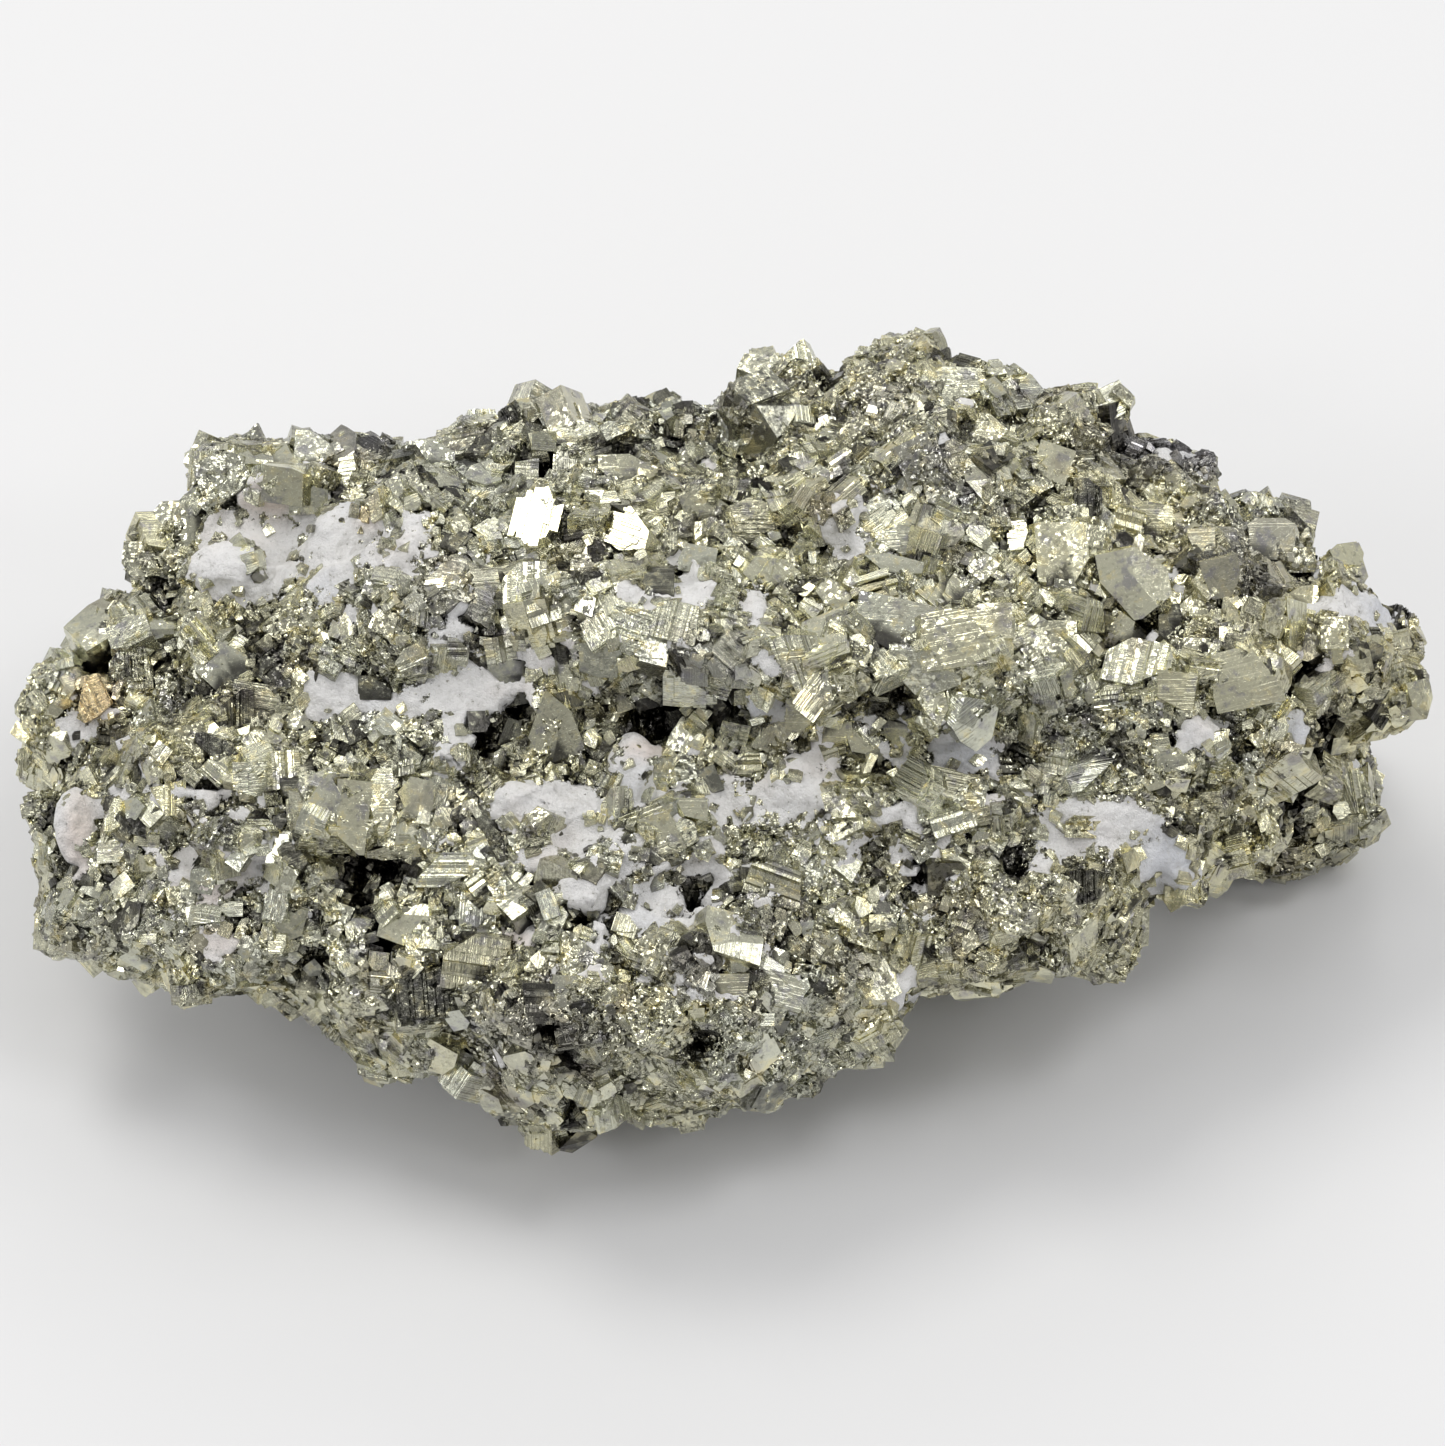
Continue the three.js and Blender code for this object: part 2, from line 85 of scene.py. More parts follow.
lights = {  # where each soft box is as seen from the specimen, its side, and how bright it is
    "key": {"aim": (-0.36, 0.34, 0.87), "size": 0.34, "shine": 7.0, "colour": (1.0, 0.985, 0.94)},
    "top": {"aim": (0.38, -0.08, 0.92), "size": 0.24, "shine": 6.5, "colour": (1.0, 1.0, 1.0)},
    "left": {"aim": (-0.80, -0.22, 0.56), "size": 0.22, "shine": 5.5, "colour": (1.0, 1.0, 1.0)},
    "right": {"aim": (0.80, 0.10, 0.60), "size": 0.22, "shine": 5.5, "colour": (1.0, 1.0, 1.0)},
    "back": {"aim": (0.15, 0.80, 0.58), "size": 0.26, "shine": 3.4, "colour": (1.0, 1.0, 0.97)},
    "rightFront": {"aim": (0.62, -0.42, 0.66), "size": 0.15, "shine": 9.0, "colour": (1.0, 1.0, 1.0)},
    "leftFront": {"aim": (-0.60, -0.50, 0.62), "size": 0.15, "shine": 9.0, "colour": (1.0, 1.0, 1.0)},
}
room = {
    "distance": 0.9,
    "aim": (-0.2, 0.45, 0.87),  # the room is brightest that way
    "low": 0.36,
    "high": 0.66,
    "frontAim": tuple(float(v) for v in outAxis),  # and darker in front, where the viewer stands
    "frontShade": 0.15,
    "frontFrom": (0.72, 0.98),  # how much a direction agrees with that way where the shade starts and is full
    "aimFrom": (-0.45, 0.95),
}


def smoothStep(low, high, value):
    part = np.clip((value - low) / (high - low), 0, 1)
    return part * part * (3 - 2 * part)


def noiseAt(points, wave, shift=0.0):
    # noise from -1 to 1 whose lumps are about a wave across
    return np.array([noise.noise(Vector(p)) for p in (points / wave + shift)])


def unit(vectors):
    return vectors / np.maximum(np.linalg.norm(vectors, axis=-1, keepdims=True), 1e-12)


def toPicture(points):
    # pixels across and down the picture
    local = points - middle
    grow = picture["scale"] * picture["distance"] / (picture["distance"] - local @ outAxis)
    px = picture["width"] / 2 + local @ acrossAxis * grow
    return px, picture["height"] / 2 - local @ upAxis * grow


def pictureRay(px, py):
    # where the camera is and which way it sees a pixel
    u = (px - picture["width"] / 2) / picture["scale"]
    v = (picture["height"] / 2 - py) / picture["scale"]
    target = middle + acrossAxis * u + upAxis * v
    return Vector(cameraPlace), Vector(unit(target - cameraPlace))


# Nodes


class Term:
    # a socket that arithmetic can be written with
    def __init__(self, maker, socket):
        self.maker = maker
        self.socket = socket

    def math(self, operation, *others, clamp=False):
        values = dict(enumerate([self, *others]))
        made = self.maker.node("ShaderNodeMath", {"operation": operation, "use_clamp": clamp}, values)
        return Term(self.maker, made.outputs[0])

    def __add__(self, other):
        return self.math("ADD", other)

    __radd__ = __add__

    def __sub__(self, other):
        return self.math("SUBTRACT", other)

    def __rsub__(self, other):
        return (self * -1) + other

    def __mul__(self, other):
        return self.math("MULTIPLY", other)

    __rmul__ = __mul__

    def __gt__(self, other):
        return self.math("GREATER_THAN", other)

    def clamped(self):
        return self.math("ADD", 0.0, clamp=True)

    def between(self, low, high, toLow=0.0, toHigh=1.0):
        made = self.maker.node("ShaderNodeMapRange", {"interpolation_type": "SMOOTHSTEP"}, {
            "Value": self, "From Min": low, "From Max": high, "To Min": toLow, "To Max": toHigh})
        return Term(self.maker, made.outputs[0])


class Maker:
    # builds the nodes of one tree
    def __init__(self, tree):
        self.tree = tree
        tree.nodes.clear()

    def node(self, kind, settings=None, values=None):
        made = self.tree.nodes.new(kind)
        for name, value in (settings or {}).items():
            setattr(made, name, value)
        for name, value in (values or {}).items():
            source = value.socket if isinstance(value, Term) else value
            if isinstance(source, bpy.types.NodeSocket):
                self.tree.links.new(source, made.inputs[name])
            else:
                made.inputs[name].default_value = source
        return made

    def term(self, kind, settings=None, values=None, output=0):
        return Term(self, self.node(kind, settings, values).outputs[output])

    def parts(self, vector):
        split = self.node("ShaderNodeSeparateXYZ", None, {0: vector})
        return [Term(self, split.outputs[i]) for i in range(3)]

    def joined(self, x, y, z):
        return self.term("ShaderNodeCombineXYZ", None, {0: x, 1: y, 2: z})

    def vector(self, operation, *values, output=0):
        return self.term("ShaderNodeVectorMath", {"operation": operation}, dict(enumerate(values)), output)

    def mix(self, factor, first, second):
        settings = {"data_type": "RGBA", "blend_type": "MIX", "clamp_factor": True}
        return self.term("ShaderNodeMix", settings, {0: factor, 6: first, 7: second}, 2)

    def noise(self, vector, scale, detail=2.0, rough=0.5):
        values = {"Vector": vector, "Scale": scale, "Detail": detail, "Roughness": rough}
        return self.term("ShaderNodeTexNoise", None, values)


def newMaterial(name, shaderOf):
    # a material from a function that makes its shader
    material = bpy.data.materials.new(name)
    material.use_nodes = True
    maker = Maker(material.node_tree)
    maker.node("ShaderNodeOutputMaterial", None, {"Surface": shaderOf(maker).outputs[0]})
    return material


# Materials

pyriteLook = {
    "grey": (0.665, 0.675, 0.565, 1),
    "gold": (0.745, 0.715, 0.495, 1),
    "brass": (0.82, 0.735, 0.415, 1),
    "violet": (0.33, 0.32, 0.37, 1),
    "tarnish": (0.30, 0.245, 0.18, 1),
    "rust": (0.84, 0.64, 0.33, 1),
    # the dark end that low tones and the painted shade of gaps, pits and shaded areas go to
    "dark": (0.035, 0.033, 0.032, 1),
    "roughness": (0.09, 0.26),
    "striae": (11.0, 30.0),  # how many lines cross a crystal, coarse and fine
    "striaDepth": 0.00009,
    "grain": 3300.0,  # grains to a metre in the rough places
    "grainDepth": 0.00036,
    "gap": (0.00012, 0.00052),  # how far under the calm surface the painted shade on the crystals starts and is full
    "paintedGapShade": 0.85,
    "crease": 620.0,  # curved creases to a metre, and how steep they are
    "creaseRise": 0.9,
    "patch": 420.0,  # gritty patches, hues, stains and cracks to a metre
    "hue": 560.0,
    "stain": 170.0,
    "crack": 1700.0,
}

crystalLook = {
    "growth": 1.0,  # of their sizes, all alike
    "paintedDarkShare": 0.09,
    "paintedDark": (0.03, 0.28),  # the tones of these, painted dark as facets mirroring dark surroundings, and of the others
    "bright": (0.76, 1.0),
    "darkShade": 0.6,  # what the dark and shaded areas take from it, partly painted shade
    "warmth": 0.42,
    "warmthSpread": 0.18,
    "crumblyGrit": (0.5, 1.0),
    "otherGrit": (0.2, 0.8),  # of every second one, and what the rest have
    "leastGrit": 0.06,
    "cleanGrit": 0.3,  # the share of it that clean forms keep
    "lined": (0.6, 0.8, 0.10),  # striae on lined forms, on every fourth of the others, and on the rest
    "smoothLined": (0.02, 0.2),
}

clayLook = {
    "white": (0.93, 0.92, 0.915, 1),
    "pink": (0.93, 0.89, 0.865, 1),
    "rose": (0.88, 0.77, 0.70, 1),
    "blue": (0.74, 0.76, 0.82, 1),
    "dustAndPitShade": (0.62, 0.61, 0.58, 1),
    "speck": (0.24, 0.225, 0.18, 1),
    "roughness": 0.92,
    "tint": 110.0,  # tints, dust with painted pit shade and specks, and lumps to a metre
    "specksAndPitShade": 1500.0,
    "lumps": 1100.0,
    "lumpDepth": 0.00062,
    "fray": 900.0,  # the frayed edge of the clay that lies on the ground
}


def grainBump(maker, place, scale):
    # height of a surface made of small tilted facets, in grains, and the number of each
    spot = maker.vector("MULTIPLY", place, (scale, scale, scale))
    cells = maker.node("ShaderNodeTexVoronoi", {"feature": "F1"}, {"Vector": spot, "Scale": 1.0})
    away = maker.vector("SUBTRACT", spot, cells.outputs["Position"])
    lean = maker.vector("SUBTRACT", cells.outputs["Color"], (0.5, 0.5, 0.5))
    return maker.vector("DOT_PRODUCT", away, lean, output=1), maker.parts(cells.outputs["Color"])[0]


def attribute(maker, name):
    return maker.parts(maker.term("ShaderNodeAttribute", {"attribute_name": name}, None, 1))


def pyriteShader(maker, ground=False):
    place = maker.term("ShaderNodeTexCoord", None, None, 3)
    tone, warmth, rough = attribute(maker, "look")
    if not ground:
        rise = maker.term("ShaderNodeAttribute", {"attribute_name": "rise"}, None, 2)
        # painted shade: crystals darken where they sink under the calm surface, between their neighbours
        tone = tone * (1 - (rise * -1).between(*pyriteLook["gap"]) * pyriteLook["paintedGapShade"])
    grit, lined, tint = attribute(maker, "finish")  # the tint is rust above nothing and violet below
    grainHeight, grainTone = grainBump(maker, place, pyriteLook["grain"])
    patch = maker.noise(place, pyriteLook["patch"], 3.0, 0.6)
    hue = maker.noise(place, pyriteLook["hue"], 3.0, 0.65)
    grit = (grit + patch.between(0.52, 0.64) * (0.10 + grit * 1.2)).clamped()
    stain = maker.noise(place, pyriteLook["stain"], 4.0, 0.6).between(0.50, 0.75)
    colour = maker.mix(warmth, pyriteLook["grey"], pyriteLook["gold"])
    colour = maker.mix(hue.between(0.54, 0.68) * 0.6, colour, pyriteLook["brass"])
    colour = maker.mix((1 - hue).between(0.54, 0.68) * 0.6, colour, pyriteLook["violet"])
    colour = maker.mix(stain * 0.5, colour, pyriteLook["tarnish"])
    colour = maker.mix((tint * 0.8).clamped(), colour, pyriteLook["rust"])
    colour = maker.mix((tint * -0.8).clamped(), colour, pyriteLook["violet"])
    crack = maker.noise(place, pyriteLook["crack"], 3.0, 0.7).between(0.55, 0.66) * (0.18 + grit * 0.77)
    tone = (tone + hue.between(0.50, 0.60) * 0.25).clamped()
    # the tone, which carries the painted shade, darkened further by cracks and dark grains
    shade = tone * (1 - crack) * (1 - grit * grainTone * 0.50)
    colour = maker.mix(shade.clamped(), pyriteLook["dark"], colour)
    low, high = pyriteLook["roughness"]
    roughness = (low + (high - low) * rough).clamped()
    crease = (maker.noise(place, pyriteLook["crease"], 4.0, 0.6) - 0.5).math("ABSOLUTE")
    height = grainHeight * grit * 1.15 + crease * (0.07 + grit * 0.95) * pyriteLook["creaseRise"]
    if not ground:
        along, face, _ = maker.parts(maker.term("ShaderNodeUVMap", {"uv_map": "UVMap"}))
        coarse, fine = pyriteLook["striae"]
        lines = maker.noise(maker.joined(along * coarse, face * 31.0, 0.0), 1.0, 2.0, 0.6)
        thin = maker.noise(maker.joined(along * fine, face * 17.0, 4.0), 1.0, 2.0, 0.6)
        steps = lines * 0.40 + thin * 0.16
        steps = steps + lines.between(0.46, 0.54) * 0.12 + thin.between(0.45, 0.55) * 0.05
        stria = steps * lined * (1 - (face > 1.5))  # none on broken faces
        height = height + stria * (pyriteLook["striaDepth"] / pyriteLook["grainDepth"]) * 4.0
    bump = maker.node("ShaderNodeBump", None, {
        "Strength": 1.0, "Distance": pyriteLook["grainDepth"], "Height": height})
    return maker.node("ShaderNodeBsdfPrincipled", None, {
        "Base Color": colour, "Metallic": 1.0, "Roughness": roughness, "Normal": bump.outputs[0]})


def clayShader(maker):
    place = maker.term("ShaderNodeTexCoord", None, None, 3)
    _, rose, blue = attribute(maker, "cover")
    tint = maker.noise(place, clayLook["tint"], 3.0, 0.55)
    colour = maker.mix(tint.between(0.50, 0.68) * 0.8, clayLook["white"], clayLook["pink"])
    colour = maker.mix((rose * (0.4 + tint * 0.8)).clamped(), colour, clayLook["rose"])
    cool = (1 - tint).between(0.56, 0.72) * 0.35 + blue * 0.7
    colour = maker.mix(cool.clamped(), colour, clayLook["blue"])
    dustAndPitShade = maker.noise(place, clayLook["specksAndPitShade"], 4.0, 0.75)
    # dust and painted shade: darker blotches stand for dust and for the shade in the clay's tiny pits, and
    # the darkest spots are specks
    colour = maker.mix(dustAndPitShade.between(0.50, 0.62) * 0.33, colour, clayLook["dustAndPitShade"])
    colour = maker.mix(dustAndPitShade.between(0.63, 0.70) * 0.9, colour, clayLook["speck"])
    height = maker.noise(place, clayLook["lumps"], 6.0, 0.75)
    bump = maker.node("ShaderNodeBump", None, {
        "Strength": 1.0, "Distance": clayLook["lumpDepth"], "Height": height})
    return maker.node("ShaderNodeBsdfPrincipled", None, {
        "Base Color": colour, "Roughness": clayLook["roughness"], "Normal": bump.outputs[0]})


def groundShader(maker):
    # granular pyrite, with clay where the mask says so
    mask = attribute(maker, "cover")[0]
    place = maker.term("ShaderNodeTexCoord", None, None, 3)
    fray = maker.noise(place, clayLook["fray"], 5.0, 0.8)
    edge = (mask + (fray - 0.5) * 1.5).between(0.45, 0.51)
    return maker.node("ShaderNodeMixShader", None, {
        0: edge, 1: pyriteShader(maker, True).outputs[0], 2: clayShader(maker).outputs[0]})


pyrite = newMaterial("pyriteCrystal", pyriteShader)
groundSkin = newMaterial("pyriteGround", groundShader)
clay = newMaterial("whiteClay", clayShader)
print("materials made")

# What lies where on the show face

clayArea = {
    "patches": [  # across, down, half width, half height, and for some turn
        (239, 558, 54, 44, -6), (328, 530, 38, 34), (325, 573, 30, 16), (277, 500, 42, 17, 5),
        (335, 695, 34, 30, -15), (400, 703, 30, 15), (465, 690, 42, 24, 5), (458, 735, 17, 30),
        (548, 798, 58, 19, -4), (580, 838, 19, 20), (587, 888, 26, 16), (645, 750, 26, 11),
        (633, 782, 15, 20), (792, 788, 32, 28, 10), (840, 528, 22, 30, -20), (866, 497, 15, 22),
        (1100, 828, 64, 26, -4), (1168, 862, 28, 38, 10), (902, 815, 30, 15), (1195, 735, 33, 14, -35),
        (1340, 602, 34, 17, -10), (1385, 620, 18, 26), (80, 830, 17, 42, 6), (238, 848, 40, 24),
        (66, 735, 18, 22), (487, 1067, 14, 14), (903, 988, 18, 24, 10), (965, 755, 40, 17, -6),
        (310, 470, 16, 10), (400, 540, 12, 22), (455, 553, 10, 10), (437, 655, 10, 17), (500, 655, 22, 8),
        (508, 630, 9, 9), (345, 615, 12, 9), (712, 412, 20, 8, 10), (710, 470, 10, 8), (818, 472, 12, 9),
        (870, 552, 16, 7), (670, 550, 10, 10), (632, 590, 15, 15), (688, 585, 18, 26, 10), (650, 612, 10, 9),
        (757, 600, 12, 20), (760, 708, 24, 12), (590, 688, 12, 8), (535, 665, 10, 8), (765, 660, 12, 17),
        (932, 492, 10, 9), (440, 775, 15, 16), (700, 748, 27, 7), (617, 862, 12, 18), (665, 895, 22, 14),
        (705, 870, 16, 8), (518, 936, 22, 7), (602, 925, 13, 9), (597, 955, 9, 15), (740, 975, 12, 28, 35),
        (797, 992, 10, 19), (870, 752, 15, 8), (897, 842, 9, 11), (912, 870, 10, 9), (880, 890, 10, 8),
        (1215, 475, 12, 6), (952, 437, 9, 6), (970, 406, 9, 6), (1098, 585, 7, 17), (1175, 577, 6, 14),
        (1325, 558, 18, 14), (1298, 648, 13, 10), (1350, 656, 10, 8), (1297, 732, 13, 16), (1154, 630, 9, 8),
        (228, 765, 13, 8), (205, 770, 9, 8), (290, 843, 18, 10), (200, 893, 28, 12, -10), (215, 943, 22, 16),
        (117, 795, 9, 12), (148, 847, 9, 10), (1145, 918, 14, 8), (1350, 775, 14, 12),
        (1172, 452, 16, 5, 10), (1232, 470, 18, 7, 15), (1048, 860, 14, 10), (735, 812, 12, 8),
    ],
    "wander": 5,  # pixels that the patches' edges wander by, and the share of their size that is added to it
    "wanderShare": 0.24,
    "fray": 0.55 * mm,
    "crystalLift": 0.12 * mm,  # crystals on clay stand higher
    "openFrom": 0.35,  # and none stand where it is more open than that
}

veins = {
    "wave": 4.2 * mm,
    "width": 0.44 * mm,  # half of it, where the zone is full
    "fine": (0.3, 0.25),  # wave and height of the finer winding, to the coarse one
    "slope": 0.55,
    "clear": 1.2,  # millimetres that the veins are away where the zone is nothing
    "zones": [  # across, down, half width, half height, how full
        (520, 660, 110, 70, 1.0), (440, 560, 90, 70, 0.6), (690, 600, 100, 80, 0.9),
        (650, 850, 120, 110, 1.0), (500, 820, 120, 60, 0.8), (850, 770, 150, 80, 0.9),
        (900, 870, 90, 60, 0.8), (1110, 840, 120, 60, 0.8), (1350, 630, 90, 100, 0.9),
        (860, 520, 90, 60, 0.8), (1130, 600, 110, 70, 0.6), (120, 800, 100, 110, 0.8),
        (260, 820, 110, 90, 0.7), (250, 920, 120, 60, 0.6), (760, 960, 90, 80, 0.7),
        (970, 760, 120, 50, 0.8), (1190, 720, 80, 60, 0.7), (720, 440, 90, 60, 0.6),
        (330, 560, 120, 90, 0.8), (1220, 480, 60, 30, 0.6), (600, 960, 110, 60, 0.7),
        (970, 960, 90, 50, 0.5), (1040, 500, 60, 60, 0.4), (90, 690, 60, 60, 0.6),
    ],
}

pits = {
    "places": [
        (155, 590), (98, 658), (265, 645), (212, 795), (355, 875), (385, 873), (357, 898), (50, 818),
        (68, 860), (310, 962), (385, 940), (512, 708), (490, 742), (635, 722), (665, 722), (650, 726),
        (725, 715), (868, 685), (898, 705), (782, 418), (520, 460), (540, 461), (610, 447), (630, 448),
        (1137, 628), (520, 918), (580, 912), (606, 908), (697, 897), (548, 1040), (570, 1065), (695, 1050),
        (455, 1065), (570, 1120), (918, 877), (1018, 860), (1324, 756), (1311, 778), (1304, 800),
        (1298, 822), (1284, 844), (1266, 862), (1312, 670), (1334, 725),
    ],
    "radius": 13,  # pixels
    "depth": 2.2 * mm,
    "bareFrom": (0.06, 0.35),  # how deep in a pit large and small crystals no longer stand
    "largeFrom": 1.8 * mm,
}

# Areas are across, down, half width, half height, and how much.
coarseAreas = [  # below nothing where the crystals are fine
    (560, 540, 130, 90, 1), (880, 620, 140, 80, 0.8), (1270, 660, 130, 90, 0.9), (340, 810, 130, 60, 0.8),
    (240, 480, 70, 40, 0.9), (1010, 430, 90, 50, 0.5), (560, 430, 120, 40, 0.5), (180, 690, 90, 70, 0.5),
    (640, 1040, 170, 60, -0.5), (1020, 900, 110, 50, -0.4), (880, 400, 60, 50, -0.6),
    (1240, 480, 90, 50, -0.7), (760, 860, 120, 60, -0.3), (440, 600, 70, 40, -0.2),
    (1130, 780, 120, 40, -0.3), (130, 940, 90, 50, -0.4),
]
# Darker places: partly the specimen's own dark tone, and partly painted shade, as under the ridge and on the
# foot behind the body.
darkAndShadedAreas = [
    (1185, 445, 85, 26, 0.75), (365, 438, 38, 14, 0.7), (715, 388, 42, 13, 0.7), (1340, 830, 60, 60, 0.35),
    (1260, 590, 30, 18, 0.7), (660, 722, 45, 16, 0.8), (265, 645, 34, 22, 0.7), (437, 992, 40, 30, 0.5),
    (380, 870, 60, 24, 0.6), (560, 1050, 60, 30, 0.35), (868, 690, 36, 20, 0.6), (120, 590, 30, 25, 0.4),
    (700, 1120, 60, 16, 0.4), (650, 970, 220, 110, 0.16), (1320, 860, 60, 40, 0.3), (215, 740, 40, 20, 0.4),
    (1130, 628, 16, 12, 0.5), (700, 655, 60, 20, 0.35),
]
rustAreas = [
    (94, 697, 24, 26, 0.9), (215, 943, 24, 15, 0.6), (367, 520, 14, 14, 0.6), (437, 992, 36, 26, 0.4),
    (622, 1003, 10, 12, 0.5), (672, 1030, 12, 10, 0.4),
]
violetAreas = [
    (1185, 440, 90, 34, 1.0), (715, 388, 46, 16, 0.8), (365, 438, 44, 16, 0.7), (560, 400, 60, 14, 0.4),
    (690, 970, 40, 30, 0.6), (540, 1030, 70, 40, 0.5), (437, 992, 46, 34, 0.4), (1250, 560, 50, 40, 0.5),
    (930, 470, 40, 30, 0.5), (880, 400, 50, 30, 0.4), (450, 610, 60, 40, 0.4), (700, 660, 60, 30, 0.4),
]
openClayAreas = [  # clay without crystals, in full as the next two
    (240, 560, 68, 58), (328, 540, 58, 56), (400, 702, 70, 22), (335, 695, 34, 34), (1100, 824, 88, 40),
    (1168, 862, 34, 44), (792, 788, 36, 32), (545, 800, 58, 24), (1350, 610, 44, 26), (840, 525, 24, 34),
    (285, 502, 58, 26), (465, 690, 46, 28), (458, 735, 20, 34), (587, 888, 30, 20), (640, 765, 26, 30),
    (66, 735, 22, 26), (1195, 735, 36, 20), (1297, 732, 16, 20), (903, 988, 22, 28), (688, 585, 24, 32),
    (632, 592, 20, 20), (757, 602, 18, 26), (768, 660, 18, 22), (965, 755, 46, 22), (902, 815, 34, 20),
]
roseAreas = [
    (270, 500, 34, 16), (200, 893, 30, 14), (80, 830, 18, 42), (818, 472, 14, 10), (645, 750, 26, 12),
    (505, 940, 30, 12),
]
blueAreas = [
    (965, 755, 38, 16), (740, 975, 20, 30), (760, 708, 26, 14), (1168, 862, 30, 38), (1297, 732, 15, 18),
    (1385, 610, 20, 20),
]


def gapToClay(px, py, warpX, warpY):
    # how far outside of the nearest clay a place is, in metres; less than nothing inside
    gap = np.full(len(px), 99.0)
    for x, y, halfWidth, halfHeight, *turn in clayArea["patches"]:
        angle = math.radians(sum(turn))
        wander = clayArea["wander"] + clayArea["wanderShare"] * min(halfWidth, halfHeight)
        dx = px + warpX * wander - x
        dy = py + warpY * wander - y
        along = (dx * math.cos(angle) + dy * math.sin(angle)) / halfWidth
        over = (dy * math.cos(angle) - dx * math.sin(angle)) / halfHeight
        gap = np.minimum(gap, (np.hypot(along, over) - 1) * min(halfWidth, halfHeight))
    return gap / picture["scale"]


def gapToVein(points, zone):
    # how far a place is from the thin veins of clay that wind between the crystals
    part, share = veins["fine"]
    winding = noiseAt(points, veins["wave"], 77.0) + share * noiseAt(points, veins["wave"] * part, 78.0)
    away = np.abs(winding) * veins["wave"] * veins["slope"]
    return away - veins["width"] * zone + (1 - zone) * veins["clear"] * mm


def pitDepth(px, py):
    depth = np.zeros(len(px))
    for x, y in pits["places"]:
        away = np.hypot(px - x, py - y) / pits["radius"]
        depth = np.maximum(depth, np.exp(-away ** 2))
    return depth


def areaSum(px, py, areas):
    total = np.zeros(len(px))
    for x, y, halfWidth, halfHeight, *amount in areas:
        share = amount[0] if amount else 1.0
        total += share * np.exp(-(((px - x) / halfWidth) ** 2 + ((py - y) / halfHeight) ** 2) ** 1.5)
    return total


def warpAt(points, shift, fineShift):
    # bends the outlines of the clay
    return noiseAt(points, 2.4 * mm, shift) + 0.8 * noiseAt(points, 0.8 * mm, fineShift)


def fieldsAt(points, normals):
    # what lies at each point, from the picture where it sees the surface and from noise elsewhere
    px, py = toPicture(points)
    seen = smoothStep(-0.05, 0.2, normals @ outAxis)
    warpX, warpY = warpAt(points, 3.1, 9.7), warpAt(points, 17.4, 29.2)
    fray = clayArea["fray"] * noiseAt(points, 1.1 * mm, 35.0)
    hiddenClay = (0.40 - noiseAt(points, 7 * mm, 41.3) - 0.20 * warpX) * 5 * mm
    zone = np.clip(seen * areaSum(px, py, veins["zones"]) + (1 - seen) * 0.5, 0, 1)
    hiddenPits = smoothStep(0.40, 0.62, noiseAt(points, 3.5 * mm, 53.1))
    mottle = noiseAt(points, 9 * mm, 67.9)
    return {
        "clayGap": np.minimum(seen * gapToClay(px, py, warpX, warpY) + (1 - seen) * hiddenClay,
                              gapToVein(points, zone)) + fray,
        "pit": seen * pitDepth(px, py) + (1 - seen) * hiddenPits,
        "coarse": seen * areaSum(px, py, coarseAreas) + 0.35 * mottle,
        # dark tone with painted shade, from the listed areas where seen and from noise on the unseen sides
        "dark": np.clip(seen * areaSum(px, py, darkAndShadedAreas) + (1 - seen) * 0.25 * (1 + mottle), 0, 1),
        "rust": seen * (areaSum(px, py, rustAreas) - areaSum(px, py, violetAreas)),
        "open": np.clip(seen * areaSum(px, py, openClayAreas), 0, 1),
        "rose": seen * areaSum(px, py, roseAreas),
        "blue": seen * areaSum(px, py, blueAreas),
    }


# Ground

ground = {
    "voxel": 0.45 * mm,
    "rounding": 24,  # smoothing rounds, which take the solids' corners off
    "calming": 12,  # more rounds, for the way that the crystals face
    "ledges": (5.4 * mm, 0.34, 0.30 * mm),  # wave, steepness and step of the facets that the crystals follow
    "sink": 0.46 * mm,  # the granular ground lies this far under the crystals' tops
    "fineRise": 0.34 * mm,  # it comes up where the crystals are fine
    "mosaics": ((2.3 * mm, 0.5, 0.16 * mm), (0.95 * mm, 0.6, 0.10 * mm)),  # the same of its own facets
    "hackle": 0.045 * mm,
    "fineFrom": (0.15, -0.45),  # how coarse an area is where fine ground starts and is full
    "clayFrom": (0.25 * mm, -0.35 * mm),  # how far outside of the clay its level starts and is full
    "coverFade": 1.2 * mm,
    "clayLevel": -0.22 * mm,
    "clayLumps": ((2.6 * mm, 0.24 * mm), (1.2 * mm, 0.26 * mm), (0.6 * mm, 0.14 * mm)),
    "plugGrowth": 1.12,  # the clay plugs are swollen so that no crack is left round them
    "tone": 0.66,  # and what fine places and chance add to it
    "fineTone": 0.24,
    "mottle": 0.3,
    "lowFrom": (0.22 * mm, 0.60 * mm),
    "paintedLowShade": 0.7,  # painted shade that low, dark and pitted places take from it; the dark areas are partly the ground's own tone
    "darkShade": 0.75,
    "paintedPitShade": 0.95,
    "warmth": 0.45,
    "roughness": 0.15,
}


def mosaicAt(points, wave, steep, step, shift=0.0):
    # heights of a surface made of flat tilted pieces, each about a wave across
    heights = np.empty(len(points))
    for i, p in enumerate(points / wave + shift):
        at = Vector(p)
        centre = noise.voronoi(at)[1][0]
        lean = noise.noise_vector(centre * 5.17)
        heights[i] = (at - centre).dot(lean) * steep * wave + noise.noise(centre * 3.31) * step
    return heights


def risesOf(points):
    # how far each point lies outside of the calm surface
    rises = np.empty(len(points))
    for i, p in enumerate(points):
        at = Vector(p)
        place, normal, _, away = calmTree.find_nearest(at)
        rises[i] = math.copysign(away, (at - place).dot(normal))
    return rises


